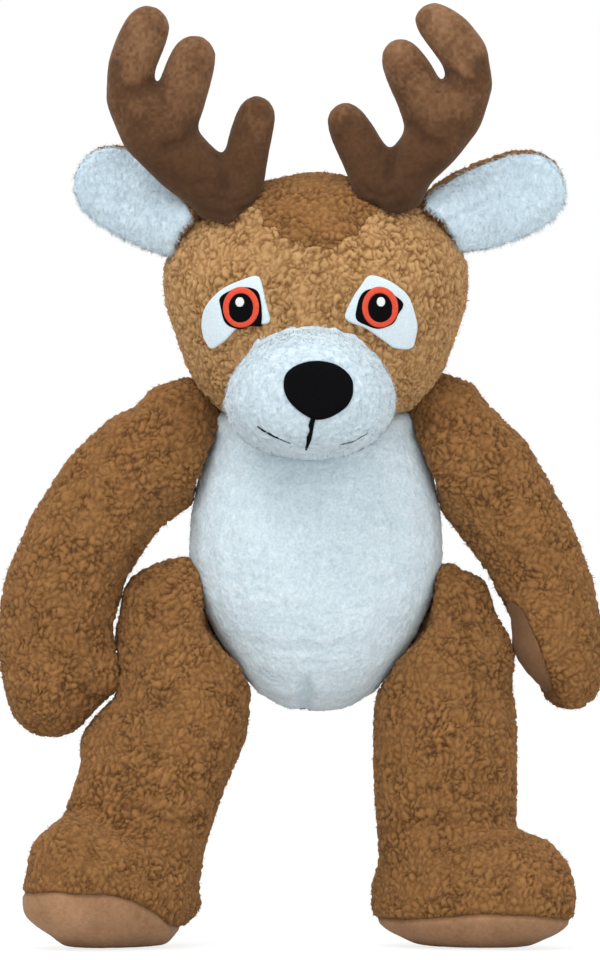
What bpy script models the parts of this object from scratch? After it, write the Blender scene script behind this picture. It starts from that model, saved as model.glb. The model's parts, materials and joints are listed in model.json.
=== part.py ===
"""A stuffed toy deer that stands on its soles.

It is built as it is sewn: fabric covers over polyester filling, each cover a shell that is
open where it is stitched to its neighbour. Metres, +Z up. The deer faces -Y and its own left
side is at +X. The origin is on the floor, in the middle under the toy.

A soft form is a stack of rings. Its table gives each ring as shares of the form's own sizes.
Limbs, ears and antlers turn about axes named here, and each is cut back by its larger
neighbour in every position of its swing, so that nothing overlaps as it moves.
"""

import math

import bmesh
import bpy
from mathutils import Matrix, Vector

MM = 0.001

# Fabric, seams and clearances
FABRIC = 4 * MM
SEAM_GAP = 0.3 * MM
FILLING_GAP = 0.7 * MM
SWING_GAP = 0.6 * MM
BALL_GAP = 0.9 * MM
FELT = 1.6 * MM
THREAD = 1.0 * MM
SEAM_RADIUS = 9 * MM
SEAM_REACH = 20 * MM
SHARP_ANGLE = math.radians(50)
END_LATITUDES = (60, 30, 0)
CUT_OVERRUN = 60 * MM
SWING_STEP = math.radians(9)
INNER_SWING_STEP = math.radians(30)
INNER_SIDES = 12
BALL_ROWS = 9

# Torso
TORSO_BOTTOM = 105 * MM
TORSO_HEIGHT = 141 * MM
TORSO_WIDTH = 116 * MM
TORSO_DEPTH = 92 * MM
TORSO_BACK = 2 * MM
SIDE_SEAM_BACK = 16 * MM
TORSO_SIDES = 22
TORSO_WIDTH_SHARES = (0.25, 0.46, 0.63, 0.79, 0.92, 1.0, 0.985, 0.93, 0.86, 0.76, 0.56)
TORSO_DEPTH_SHARES = (0.25, 0.47, 0.66, 0.83, 0.95, 1.0, 0.96, 0.88, 0.79, 0.68, 0.50)

# Neck: a ball of filling, a sewn collar round it and the hollow of the head over both
NECK_HEIGHT = 238 * MM
NECK_BALL_RADIUS = 24 * MM
COLLAR_LOW = 10 * MM
COLLAR_HIGH = 19 * MM
NECK_TURN_LIMIT = math.radians(25)
NOD_DOWN_LIMIT = math.radians(6)
NOD_UP_LIMIT = math.radians(12)

# Head
HEAD_BOTTOM = 234 * MM
HEAD_HEIGHT = 114 * MM
HEAD_WIDTH = 139 * MM
HEAD_DEPTH = 114 * MM
HEAD_FORWARD = 6 * MM
HEAD_SIDES = 26
HEAD_WIDTH_SHARES = (0.40, 0.62, 0.76, 0.85, 0.92, 0.99, 1.0, 0.93, 0.79, 0.59, 0.34)
HEAD_DEPTH_SHARES = (0.42, 0.66, 0.81, 0.92, 0.98, 1.0, 0.98, 0.91, 0.79, 0.60, 0.34)
BACK_SEAM = 10 * MM
PEAK_LOW = 314 * MM
PEAK_HEIGHT = 26 * MM
PEAK_HALF_WIDTH = 35 * MM

# Muzzle, nose and mouth. The sewn face sits a little to the deer's right.
FACE_SHIFT = -2.5 * MM
NOSE_SHIFT = 1 * MM
MUZZLE_HEIGHT_UP = 249 * MM
MUZZLE_WIDTH = 77 * MM
MUZZLE_HEIGHT = 60 * MM
MUZZLE_FRONT = 98 * MM
MUZZLE_LENGTH = 68 * MM
MUZZLE_SIDES = 18
MUZZLE_TAPER = 0.13
MUZZLE_SHARES = (0.84, 1.0, 0.95, 0.83, 0.65, 0.38)
MUZZLE_REACH_SHARES = (0.0, 0.40, 0.62, 0.80, 0.92, 0.985)
NOSE_WIDTH = 30 * MM
NOSE_HEIGHT = 25 * MM
NOSE_UP = 250.5 * MM
NOSE_THICKNESS = 3 * MM
NOSE_SHARES = (
    (0.0, 0.5), (0.25, 0.485), (0.42, 0.37), (0.5, 0.14), (0.46, -0.12), (0.34, -0.34), (0.17, -0.47),
)
MOUTH_TOP = 237 * MM
MOUTH_DROP = 11 * MM
MOUTH_HALF_WIDTH = 24 * MM
MOUTH_CORNER_RISE = 6 * MM
STITCH_WIDTH = 1.8 * MM

# Eyes, in the plane that faces the front: across is away from the nose
EYE_OUT = 30.5 * MM
EYE_UP = 287.8 * MM
EYE_PATCH_SIZE = 32 * MM
EYE_PATCH_SHARES = (
    (-0.17, 0.44), (0.12, 0.38), (0.36, 0.20), (0.50, 0.0), (0.54, -0.28), (0.44, -0.55),
    (0.20, -0.47), (-0.08, -0.32), (-0.42, -0.19), (-0.38, 0.13),
)
OUTLINE_RADIUS = 9.9 * MM
OUTLINE_CORNER_ACROSS = 11.5 * MM
OUTLINE_CORNER_UP = 4.5 * MM
IRIS_WIDTH = 16.2 * MM
IRIS_HEIGHT = 18 * MM
PUPIL_WIDTH = 10.8 * MM
PUPIL_HEIGHT = 12.6 * MM
HIGHLIGHT_RADIUS = 2 * MM
HIGHLIGHT_UP = 2.4 * MM
EYE_SIDES = 14

# Ears
EAR_ROOT_OUT = 46 * MM
EAR_ROOT_BACK = 15 * MM
EAR_ROOT_UP = {"left": 323 * MM, "right": 318 * MM}
EAR_LENGTH = 72 * MM
EAR_HALF_WIDTH = 20.5 * MM
EAR_THICKNESS = 11 * MM
EAR_RISE = {"left": math.radians(22), "right": math.radians(31)}
EAR_SIDES = 14
EAR_REACH_SHARES = (0.0, 0.16, 0.34, 0.52, 0.69, 0.83, 0.925, 0.98)
EAR_WIDTH_SHARES = (0.58, 0.80, 0.95, 1.0, 0.98, 0.87, 0.66, 0.38)
EAR_EDGE_GROWTH = 1.1
LINING_SHARE = 0.93
LINING_OUT = 5 * MM
LINING_DOWN = 1.5 * MM
EAR_BACK_LIMIT = math.radians(25)
EAR_FORWARD_LIMIT = math.radians(8)

# Antlers: out and up from the root and radius of each ring's middle
ANTLER_ROOT_OUT = 34 * MM
ANTLER_ROOT_UP = 322 * MM
ANTLER_FORWARD = 30 * MM
ANTLER_SPAN = 60 * MM
ANTLER_RISE = 100 * MM
ANTLER_RADIUS = 12 * MM
ANTLER_FABRIC = 3 * MM
ANTLER_FLATTEN = 0.92
ANTLER_SIDES = 12
ANTLER_LIMIT = math.radians(10)
ANTLER_BEAM_SHARES = {
    "left": (
        (-0.02, 0.0, 0.92), (-0.02, 0.12, 0.96), (0.12, 0.28, 1.0), (0.32, 0.41, 1.10), (0.48, 0.54, 1.02),
        (0.59, 0.68, 0.92), (0.55, 0.80, 0.94), (0.43, 0.89, 0.93), (0.32, 0.94, 0.85),
    ),
    "right": (
        (-0.02, -0.04, 0.92), (0.04, 0.08, 0.96), (0.18, 0.20, 1.05), (0.39, 0.31, 1.12), (0.66, 0.48, 1.16),
        (0.83, 0.62, 0.99), (0.83, 0.73, 0.92), (0.76, 0.84, 0.94), (0.70, 0.92, 0.91),
    ),
}
ANTLER_MIDDLE_TINE_SHARES = {
    "left": ((0.30, 0.48, 0.98), (0.21, 0.62, 0.94), (0.14, 0.71, 0.94), (0.08, 0.78, 0.86)),
    "right": ((0.54, 0.46, 1.01), (0.45, 0.60, 0.98), (0.39, 0.72, 0.95), (0.35, 0.79, 0.89)),
}
ANTLER_INNER_TINE_SHARES = {
    "left": ((-0.10, 0.18, 0.83), (-0.19, 0.33, 0.91), (-0.29, 0.44, 0.87), (-0.34, 0.50, 0.78)),
    "right": ((0.02, 0.15, 0.76), (-0.03, 0.29, 0.84), (-0.07, 0.42, 0.84), (-0.12, 0.53, 0.78)),
}

# Arms: out and up from the shoulder and radius of each ring's middle
SHOULDER_UP = 222 * MM
ARM_LENGTH = 128 * MM
ARM_REACH = 62 * MM
ARM_RADIUS = 24 * MM
ARM_FLATTEN = 0.92
ARM_SIDES = 16
SHOULDER_OUT = 48 * MM
ARM_SHARES = {
    "left": (
        (-0.25, 0.0, 0.90), (0.13, 0.0, 1.10), (0.28, 0.0, 1.11), (0.44, -0.07, 1.06), (0.61, -0.19, 1.0),
        (0.80, -0.34, 0.93), (0.94, -0.50, 0.87), (1.04, -0.67, 0.78), (1.08, -0.79, 0.62),
    ),
    "right": (
        (-0.25, 0.0, 0.90), (0.13, 0.0, 1.10), (0.28, 0.02, 1.14), (0.48, -0.04, 1.13), (0.71, -0.14, 1.10),
        (0.94, -0.31, 1.09), (1.11, -0.50, 1.08), (1.18, -0.68, 1.03), (1.16, -0.84, 0.88),
    ),
}
# Room for the turning head over the shoulder: out from the shoulder, radius about its axis
SHOULDER_BELL_SHARES = (
    (-0.30, 0.55), (-0.18, 0.60), (-0.065, 0.70), (0.01, 0.80), (0.065, 0.94), (0.13, 1.11), (0.16, 1.30),
    (0.21, 1.58), (0.27, 2.0), (0.34, 3.0), (0.5, 5.0), (0.6, 8.0), (2.0, 8.0),
)
ARM_BACK_LIMIT = math.radians(30)
ARM_FORWARD_LIMIT = math.radians(90)
PALM_LENGTH = 48 * MM
PALM_WIDTH = 26 * MM
PALM_SIDES = 16
PALM_UP_SHARE = -0.66
PALM_TURN = {"left": math.radians(32), "right": math.radians(-12)}

# Legs and feet: out, up and radius of each ring's middle
HIP_UP = 160 * MM
LEG_OUT = 58.5 * MM
LEG_TOP = 150 * MM
LEG_DROP = 116 * MM
LEG_RADIUS = 33 * MM
LEG_FLATTEN = 0.86
LEG_SIDES = 16
LEG_SHARES = {
    "left": (
        (0.97, 0.02, 0.65), (1.0, -0.2, 0.88), (1.0, -0.4, 1.0), (1.0, -0.6, 1.0), (1.01, -0.8, 0.98),
        (1.02, -1.0, 0.94),
    ),
    "right": (
        (0.99, 0.02, 0.74), (1.0, -0.2, 0.92), (1.04, -0.4, 0.95), (1.24, -0.6, 1.0), (1.37, -0.8, 1.0),
        (1.44, -1.0, 0.94),
    ),
}
LEG_BACK_LIMIT = math.radians(15)
LEG_FORWARD_LIMIT = math.radians(80)
FOOT_OUT = {"left": 71 * MM, "right": 90 * MM}
FOOT_FORWARD = 14 * MM
FOOT_LENGTH = 100 * MM
FOOT_WIDTH = 66 * MM
FOOT_HEIGHT = 57 * MM
FOOT_TOE_OUT = {"left": math.radians(60), "right": math.radians(45)}
FOOT_SIDES = 18
FOOT_SHARES = (0.66, 0.92, 1.0, 1.0, 0.93, 0.76, 0.45)
SOLE_HEIGHT = 15 * MM
SOLE_FLAT = 1.5 * MM

# Tail
TAIL_UP = 138 * MM
TAIL_BACK = 36 * MM
TAIL_LENGTH = 34 * MM
TAIL_RADIUS = 10 * MM
TAIL_RISE = math.radians(35)
TAIL_SIDES = 12
TAIL_SHARES = (0.70, 0.95, 1.0, 0.80)
TAIL_LIMIT = math.radians(15)

SIDES = {"left": 1, "right": -1}
NECK_CENTER = Vector((0, 0, NECK_HEIGHT))
HIP_CENTER = Vector((0, 0, HIP_UP))
SHOULDER_CENTER = Vector((0, 0, SHOULDER_UP))
X_AXIS = Vector((1, 0, 0))
Y_AXIS = Vector((0, 1, 0))
Z_AXIS = Vector((0, 0, 1))


def clear_scene():
    for obj in list(bpy.data.objects):
        bpy.data.objects.remove(obj)


def make_material(name, color, roughness):
    material = bpy.data.materials.new(name)
    material.use_nodes = True
    shader = material.node_tree.nodes["Principled BSDF"]
    shader.inputs["Base Color"].default_value = (*color, 1)
    shader.inputs["Roughness"].default_value = roughness
    shader.inputs["Metallic"].default_value = 0
    material.diffuse_color = (*color, 1)
    return material


def make_object(name, bm):
    """A new object that takes over the bmesh, with its faces turned out and made flat triangles."""
    bmesh.ops.recalc_face_normals(bm, faces=bm.faces[:])
    bmesh.ops.triangulate(bm, faces=bm.faces[:], quad_method="FIXED")
    mesh = bpy.data.meshes.new(name)
    bm.to_mesh(mesh)
    bm.free()
    obj = bpy.data.objects.new(name, mesh)
    bpy.context.scene.collection.objects.link(obj)
    return obj


def stack_rings(name, rings, first_pole, last_pole):
    """A closed skin over rings of points, each end closed on its pole."""
    bm = bmesh.new()
    loops = [[bm.verts.new(point) for point in ring] for ring in rings]
    count = len(loops[0])
    for low, high in zip(loops, loops[1:]):
        for i in range(count):
            j = (i + 1) % count
            bm.faces.new((low[i], low[j], high[j], high[i]))
    for loop, pole in ((loops[0], first_pole), (loops[-1], last_pole)):
        tip = bm.verts.new(pole)
        for i in range(count):
            bm.faces.new((loop[i], loop[(i + 1) % count], tip))
    return make_object(name, bm)


def ring(center, side, front, half_side, half_front, count):
    """Points of an ellipse about a center, in the plane of two unit vectors."""
    angles = [2 * math.pi * (i + 0.5) / count for i in range(count)]
    return [
        center + side * (half_side * math.cos(a)) + front * (half_front * math.sin(a)) for a in angles
    ]


def egg_form(name, middle, height, width, depth, width_shares, depth_shares, count, side=X_AXIS):
    """An upright soft form. Its rings stand at even latitudes, pole to pole."""
    front = Z_AXIS.cross(side)
    rings = []
    for i, (wide, deep) in enumerate(zip(width_shares, depth_shares)):
        latitude = math.pi * ((i + 1) / (len(width_shares) + 1) - 0.5)
        center = middle + Z_AXIS * (height / 2 * math.sin(latitude))
        rings.append(ring(center, side, front, width / 2 * wide, depth / 2 * deep, count))
    half = Z_AXIS * (height / 2)
    return stack_rings(name, rings, middle - half, middle + half)


def limb_form(name, stations, flatten, count):
    """A soft tube with round ends through stations of a point and a radius."""
    points = [Vector(point) for point, _ in stations]
    radii = [radius for _, radius in stations]
    rings = []
    last = len(points) - 1
    poles = []
    for i, (point, radius) in enumerate(zip(points, radii)):
        along = (points[min(i + 1, last)] - points[max(i - 1, 0)]).normalized()
        side = Y_AXIS.cross(along).normalized()
        front = along.cross(side)
        ends = {0: END_LATITUDES, last: END_LATITUDES[::-1]}.get(i, (0,))
        outward = -along if i == 0 else along
        for angle in map(math.radians, ends):
            center = point + outward * (radius * math.sin(angle))
            reach = radius * math.cos(angle)
            rings.append(ring(center, side, front, reach, reach * flatten, count))
        if i in (0, last):
            poles.append(point + outward * radius)
    return stack_rings(name, rings, *poles)


def grown(obj, distance, name="grown"):
    """A copy with its skin moved out by a distance, or in by a negative one."""
    bm = bmesh.new()
    bm.from_mesh(obj.data)
    bm.normal_update()
    moves = []
    for vert in bm.verts:
        reach = min(max(vert.normal.dot(face.normal), 0.5) for face in vert.link_faces)
        moves.append(vert.normal * (distance / reach))
    for vert, move in zip(bm.verts, moves):
        vert.co += move
    return make_object(name, bm)


def prism(name, outline, direction, depth):
    """A closed bar over an outline of 3-D points, drawn out both ways along a direction."""
    bm = bmesh.new()
    reach = direction.normalized() * depth
    near = [bm.verts.new(point - reach) for point in outline]
    far = [bm.verts.new(point + reach) for point in outline]
    bm.faces.new(near)
    bm.faces.new(list(reversed(far)))
    for i in range(len(outline)):
        j = (i + 1) % len(outline)
        bm.faces.new((near[i], far[i], far[j], near[j]))
    return make_object(name, bm)


def box(name, low, high):
    bm = bmesh.new()
    bmesh.ops.create_cube(bm, size=1)
    center = (low + high) / 2
    bmesh.ops.scale(bm, vec=high - low, verts=bm.verts)
    bmesh.ops.translate(bm, vec=center, verts=bm.verts)
    return make_object(name, bm)


def ball(name, center, radius, rows):
    bm = bmesh.new()
    bmesh.ops.create_uvsphere(bm, u_segments=2 * rows, v_segments=rows, radius=radius)
    bmesh.ops.translate(bm, vec=center, verts=bm.verts)
    return make_object(name, bm)


def discard(*objects):
    for obj in objects:
        bpy.data.objects.remove(obj)


def combine(obj, other, operation):
    """Runs one Boolean on an object's own mesh and keeps the other object."""
    modifier = obj.modifiers.new(operation.lower(), "BOOLEAN")
    modifier.operation = operation
    modifier.solver = "MANIFOLD"
    modifier.object = other
    graph = bpy.context.evaluated_depsgraph_get()
    mesh = bpy.data.meshes.new_from_object(obj.evaluated_get(graph))
    obj.modifiers.clear()
    old = obj.data
    obj.data = mesh
    bpy.data.meshes.remove(old)
    return obj


def cut(obj, *cutters):
    for cutter in cutters:
        combine(obj, cutter, "DIFFERENCE")
    return obj


def keep(obj, shape):
    return combine(obj, shape, "INTERSECT")


def join(obj, *others):
    for other in others:
        combine(obj, other, "UNION")
        discard(other)
    return obj


def copy_of(obj, name):
    twin = obj.copy()
    twin.data = obj.data.copy()
    twin.name = name
    bpy.context.scene.collection.objects.link(twin)
    return twin


def about(center, axis, angle):
    """The matrix that turns a point about an axis through a center."""
    shift = Matrix.Translation(center)
    return shift @ Matrix.Rotation(angle, 4, axis) @ shift.inverted()


def swing_angles(low, high, step=SWING_STEP):
    """Rest, and even steps from it to each limit, none wider than one step."""
    down = math.ceil(-low / step)
    up = math.ceil(high / step)
    angles = [low * (i + 1) / down for i in range(down)]
    return [0.0] + angles + [high * (i + 1) / up for i in range(up)]


def cut_by_swing(pieces, neighbour, poses, inset=0.0):
    """Cuts pieces by their neighbour as each pose of the pieces' own joint leaves it."""
    cutter = grown(neighbour, SWING_GAP + inset)
    rest = cutter.data.copy()
    for pose in poses:
        cutter.data.transform(pose.inverted())
        for piece in pieces:
            cut(piece, cutter)
        moved = cutter.data
        cutter.data = rest.copy()
        bpy.data.meshes.remove(moved)
    discard(cutter)


def limb_poses(center, back, forward, step=SWING_STEP):
    """A limb swings forward about -X."""
    return [about(center, X_AXIS, -angle) for angle in swing_angles(-back, forward, step)]


def hollow_limb(outer, cavity, filling, torso, swing, seam_center):
    """Cuts a limb back from the torso, leaves its cover a shell and opens that at the seam."""
    cut_by_swing([outer], torso, limb_poses(*swing))
    inner_poses = limb_poses(*swing, INNER_SWING_STEP)
    inner_torso = torso_form("inner_torso", 0, INNER_SIDES)
    cut_by_swing([cavity], inner_torso, inner_poses, FABRIC)
    cut_by_swing([filling], inner_torso, inner_poses, FABRIC + 2 * FILLING_GAP)
    circle = [seam_center + Y_AXIS * y + Z_AXIS * z for y, z in oval(2 * SEAM_RADIUS, 2 * SEAM_RADIUS)]
    opening = prism("opening", circle, X_AXIS, SEAM_REACH)
    cut(outer, cavity, opening)
    discard(cavity, opening, inner_torso)
    return outer


def finish(obj, name, material):
    """Names a finished solid, gives it its material and shades its round faces smooth."""
    obj.name = name
    obj.data.name = name
    obj.data.materials.clear()
    obj.data.materials.append(material)
    obj.data.shade_smooth()
    obj.data.set_sharp_from_angle(angle=SHARP_ANGLE)
    return obj


def hang_on(pivot_name, location, pieces):
    """Parents pieces to an empty on their joint's axis and leaves them where they are."""
    pivot = bpy.data.objects.new(pivot_name, None)
    pivot.location = location
    bpy.context.scene.collection.objects.link(pivot)
    for piece in pieces:
        piece.parent = pivot
        piece.matrix_parent_inverse = Matrix.Translation(-location)


def torso_form(name, inset=0.0, count=TORSO_SIDES):
    middle = Vector((0, TORSO_BACK, TORSO_BOTTOM + TORSO_HEIGHT / 2))
    sizes = [size - 2 * inset for size in (TORSO_HEIGHT, TORSO_WIDTH, TORSO_DEPTH)]
    return egg_form(name, middle, *sizes, TORSO_WIDTH_SHARES, TORSO_DEPTH_SHARES, count)


def head_form(name, inset=0.0, count=HEAD_SIDES):
    middle = Vector((0, -HEAD_FORWARD, HEAD_BOTTOM + HEAD_HEIGHT / 2))
    sizes = [size - 2 * inset for size in (HEAD_HEIGHT, HEAD_WIDTH, HEAD_DEPTH)]
    return egg_form(name, middle, *sizes, HEAD_WIDTH_SHARES, HEAD_DEPTH_SHARES, count)


def muzzle_form(name, inset=0.0, count=MUZZLE_SIDES):
    rings = []
    length = MUZZLE_LENGTH - inset
    root = Vector((FACE_SHIFT, MUZZLE_LENGTH - MUZZLE_FRONT, MUZZLE_HEIGHT_UP))
    for share, reach in zip(MUZZLE_SHARES, MUZZLE_REACH_SHARES):
        center = root - Y_AXIS * (length * reach)
        half_wide = (MUZZLE_WIDTH / 2 - inset) * share
        half_high = (MUZZLE_HEIGHT / 2 - inset) * share
        points = ring(center, X_AXIS, Z_AXIS, half_wide, half_high, count)
        for point in points:
            point.x *= 1 - MUZZLE_TAPER * (point.z - root.z) / (MUZZLE_HEIGHT / 2)
        rings.append(points)
    return stack_rings(name, rings, root, root - Y_AXIS * length)


def build_torso(torso, materials):
    cavity = torso_form("cavity", FABRIC, INNER_SIDES)
    neck_opening = ball("neck_opening", NECK_CENTER, NECK_BALL_RADIUS + BALL_GAP, BALL_ROWS)
    cover = cut(copy_of(torso, "cover"), cavity, neck_opening)
    far = Vector((TORSO_WIDTH, TORSO_DEPTH, TORSO_HEIGHT * 2))
    seam = SIDE_SEAM_BACK
    behind = box("behind", Vector((-far.x, seam, 0)), far)
    ahead = box("ahead", -far, Vector((far.x, seam + SEAM_GAP, far.z)))
    back = cut(copy_of(cover, "back"), ahead)
    belly = cut(cover, behind)
    filling = torso_form("filling", FABRIC + FILLING_GAP, INNER_SIDES)
    join(filling, ball("neck_ball", NECK_CENTER, NECK_BALL_RADIUS, BALL_ROWS))
    discard(cavity, neck_opening, behind, ahead)
    finish(belly, "belly_panel", materials["white_sherpa"])
    finish(back, "torso_back_panel", materials["brown_sherpa"])
    finish(filling, "torso_stuffing", materials["filling"])


def build_collar(materials):
    """The gathered fabric ring between the neck ball and the head, a zone of a sphere."""
    inner = NECK_BALL_RADIUS + BALL_GAP
    collar = ball("collar", NECK_CENTER, inner + FABRIC, BALL_ROWS)
    core = ball("core", NECK_CENTER, inner, BALL_ROWS)
    wide = inner + FABRIC + CUT_OVERRUN
    low = NECK_HEIGHT + COLLAR_LOW
    high = NECK_HEIGHT + COLLAR_HIGH
    zone = box("zone", Vector((-wide, -wide, low)), Vector((wide, wide, high)))
    keep(cut(collar, core), zone)
    discard(core, zone)
    finish(collar, "neck_gusset", materials["brown_sherpa"])
    hang_on("neck_pivot", NECK_CENTER, [collar])


def head_poses():
    """Each mix of a turn and a nod, as matrices."""
    turns = [NECK_TURN_LIMIT * share for share in (-1, -0.5, 0, 0.5, 1)]
    nods = [-NOD_DOWN_LIMIT, 0, NOD_UP_LIMIT]
    # A turn of the head about -X lifts its front
    return [
        about(NECK_CENTER, Z_AXIS, turn) @ about(NECK_CENTER, X_AXIS, -nod)
        for turn in turns
        for nod in nods
    ]


def back_panel_region(gap):
    """What lies behind the ear seam, and the crown's peak that runs forward to the brow."""
    reach = HEAD_WIDTH + HEAD_HEIGHT
    top = HEAD_BOTTOM + HEAD_HEIGHT + CUT_OVERRUN
    region = box("region", Vector((-reach, BACK_SEAM - gap, 0)), Vector((reach, reach, top)))
    peak_top = PEAK_LOW + PEAK_HEIGHT
    half = PEAK_HALF_WIDTH + gap
    outline = [(0, PEAK_LOW - gap), (half, peak_top), (half, top), (-half, top), (-half, peak_top)]
    points = [Vector((x, 0, z)) for x, z in outline]
    return join(region, prism("peak", points, Y_AXIS, HEAD_DEPTH))


def build_head(torso, head, muzzle, materials):
    collar_radius = NECK_BALL_RADIUS + BALL_GAP + FABRIC + BALL_GAP
    hollow = ball("hollow", NECK_CENTER, collar_radius, BALL_ROWS)
    head_cavity = head_form("head_cavity", FABRIC, INNER_SIDES)
    muzzle_cavity = muzzle_form("muzzle_cavity", FABRIC, INNER_SIDES)
    cover = cut(copy_of(head, "cover"), head_cavity)
    muzzle_hole = grown(muzzle, SEAM_GAP)
    muzzle_cover = cut(copy_of(muzzle, "muzzle_cover"), muzzle_cavity, head_cavity)
    filling_inset = FABRIC + FILLING_GAP
    filling = head_form("filling", filling_inset, INNER_SIDES)
    join(filling, muzzle_form("muzzle_filling", filling_inset, INNER_SIDES))
    cut(cover, muzzle_hole, hollow)
    cut(filling, hollow)
    cut_by_swing([cover, filling, muzzle_cover], torso, head_poses())
    region = back_panel_region(0)
    wider = back_panel_region(SEAM_GAP)
    back = keep(copy_of(cover, "back"), region)
    face = cut(cover, wider)
    discard(hollow, head_cavity, muzzle_cavity, muzzle_hole, region, wider)
    return [
        finish(face, "head_face_panel", materials["tan_sherpa"]),
        finish(back, "head_back_panel", materials["brown_sherpa"]),
        finish(muzzle_cover, "muzzle_panel", materials["white_sherpa"]),
        finish(filling, "head_stuffing", materials["filling"]),
    ]


def laid_on(name, surface, low, high, outline, material, depth=MUZZLE_FRONT, holes=()):
    """A thin piece that follows a surface: the slice of it that an outline covers."""
    outer = grown(surface, high)
    inner = grown(surface, low)
    bar = prism("bar", outline, Y_AXIS, depth)
    piece = cut(keep(outer, bar), inner)
    for hole in holes:
        cutter = prism("hole", hole, Y_AXIS, depth)
        cut(piece, cutter)
        discard(cutter)
    discard(inner, bar)
    return finish(piece, name, material)


def facing_front(center_x, center_z, points):
    """Outline points across and up from a center, at half the depth before the head."""
    return [Vector((center_x + x, -MUZZLE_FRONT - HEAD_FORWARD, center_z + z)) for x, z in points]


def oval(width, height, count=EYE_SIDES):
    angles = [2 * math.pi * i / count for i in range(count)]
    return [(width / 2 * math.cos(a), height / 2 * math.sin(a)) for a in angles]


def eye_outline_points():
    """A circle drawn out to a corner on the outer side."""
    points = []
    for x, z in oval(2 * OUTLINE_RADIUS, 2 * OUTLINE_RADIUS):
        from_corner = math.atan2(z, x) - math.atan2(OUTLINE_CORNER_UP, OUTLINE_CORNER_ACROSS)
        if abs(from_corner) < math.pi / EYE_SIDES:
            x, z = OUTLINE_CORNER_ACROSS, OUTLINE_CORNER_UP
        points.append((x, z))
    return points


def build_eye(side, sign, head, materials):
    def placed(points, up=0.0):
        turned = [(sign * x, z) for x, z in points]
        return facing_front(FACE_SHIFT + sign * EYE_OUT, EYE_UP + up, turned)

    def eye_piece(part, low, thickness, points, material, up=0.0, hole=None, hole_up=0.0):
        holes = [placed(hole, hole_up)] if hole else []
        name = f"eye_{part}_{side}"
        return laid_on(name, head, low, low + thickness, placed(points, up), material, holes=holes)

    patch_points = [(EYE_PATCH_SIZE * x, EYE_PATCH_SIZE * z) for x, z in EYE_PATCH_SHARES]
    on_felt = SEAM_GAP + FELT + SEAM_GAP
    gap = 2 * SEAM_GAP
    iris = oval(IRIS_WIDTH, IRIS_HEIGHT)
    iris_hole = oval(IRIS_WIDTH + gap, IRIS_HEIGHT + gap)
    pupil = oval(PUPIL_WIDTH, PUPIL_HEIGHT)
    pupil_hole = oval(PUPIL_WIDTH + gap, PUPIL_HEIGHT + gap)
    spot = oval(2 * HIGHLIGHT_RADIUS, 2 * HIGHLIGHT_RADIUS)
    spot_hole = oval(2 * HIGHLIGHT_RADIUS + gap, 2 * HIGHLIGHT_RADIUS + gap)
    black = materials["black_thread"]
    return [
        eye_piece("patch", SEAM_GAP, FELT, patch_points, materials["white_felt"]),
        eye_piece("outline", on_felt, THREAD, eye_outline_points(), black, hole=iris_hole),
        eye_piece("iris", on_felt, THREAD, iris, materials["coral_thread"], hole=pupil_hole),
        eye_piece("pupil", on_felt, THREAD, pupil, black, hole=spot_hole, hole_up=HIGHLIGHT_UP),
        eye_piece("highlight", on_felt, THREAD, spot, materials["white_felt"], up=HIGHLIGHT_UP),
    ]


def build_nose_and_mouth(muzzle, materials):
    right_half = [(NOSE_WIDTH * x, NOSE_HEIGHT * z) for x, z in NOSE_SHARES]
    left_half = [(-x, z) for x, z in reversed(right_half) if x > 0]
    outline = facing_front(NOSE_SHIFT, NOSE_UP, right_half + left_half)
    high = SEAM_GAP + NOSE_THICKNESS
    black = materials["black_thread"]
    nose = laid_on("nose", muzzle, SEAM_GAP, high, outline, black, MUZZLE_LENGTH)
    half = STITCH_WIDTH / 2
    low_end = -MOUTH_DROP
    middle = MOUTH_HALF_WIDTH / 2
    corner_up = low_end + MOUTH_CORNER_RISE
    right_side = [
        (half, 0), (half, low_end + half), (middle, low_end + STITCH_WIDTH), (MOUTH_HALF_WIDTH, corner_up + half),
        (MOUTH_HALF_WIDTH + half, corner_up - half), (middle, low_end), (0, low_end - half),
    ]
    left_side = [(-x, z) for x, z in reversed(right_side) if x > 0]
    outline = facing_front(FACE_SHIFT, MOUTH_TOP, right_side + left_side)
    mouth = laid_on("mouth_stitch", muzzle, SEAM_GAP, SEAM_GAP + THREAD, outline, black, MUZZLE_LENGTH)
    return [nose, mouth]


def ear_frame(side, sign):
    """The ear's root, its direction from root to tip and its direction across."""
    rise = EAR_RISE[side]
    root = Vector((sign * EAR_ROOT_OUT, EAR_ROOT_BACK, EAR_ROOT_UP[side]))
    along = Vector((sign * math.cos(rise), 0, math.sin(rise)))
    return root, along, Y_AXIS.cross(along)


def ear_form(name, root, along, across, size_share):
    """A leaf of one thickness with soft edges."""
    rings = []
    length = EAR_LENGTH * size_share
    for reach, share in zip(EAR_REACH_SHARES, EAR_WIDTH_SHARES):
        half_wide = EAR_HALF_WIDTH * share * size_share
        half_thick = EAR_THICKNESS / 2 * min(share * EAR_EDGE_GROWTH, 1)
        rings.append(ring(root + along * (length * reach), across, Y_AXIS, half_wide, half_thick, EAR_SIDES))
    return stack_rings(name, rings, root - along * EAR_THICKNESS, root + along * length)


def build_ear(side, sign, head, materials):
    root, along, across = ear_frame(side, sign)
    back = ear_form("ear_back", root, along, across, 1)
    shift = along * LINING_OUT - Y_AXIS * FABRIC - Z_AXIS * LINING_DOWN
    lining = ear_form("ear_lining", root + shift, along, across, LINING_SHARE)
    room = grown(back, SEAM_GAP)
    cut(lining, room)
    discard(room)
    angles = swing_angles(-EAR_BACK_LIMIT, EAR_FORWARD_LIMIT)
    cut_by_swing([back, lining], head, [about(root, across, angle) for angle in angles])
    finish(back, f"ear_back_{side}", materials["brown_sherpa"])
    finish(lining, f"ear_lining_{side}", materials["white_sherpa"])
    hang_on(f"ear_pivot_{side}", root, [back, lining])
    return [back, lining]


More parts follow.
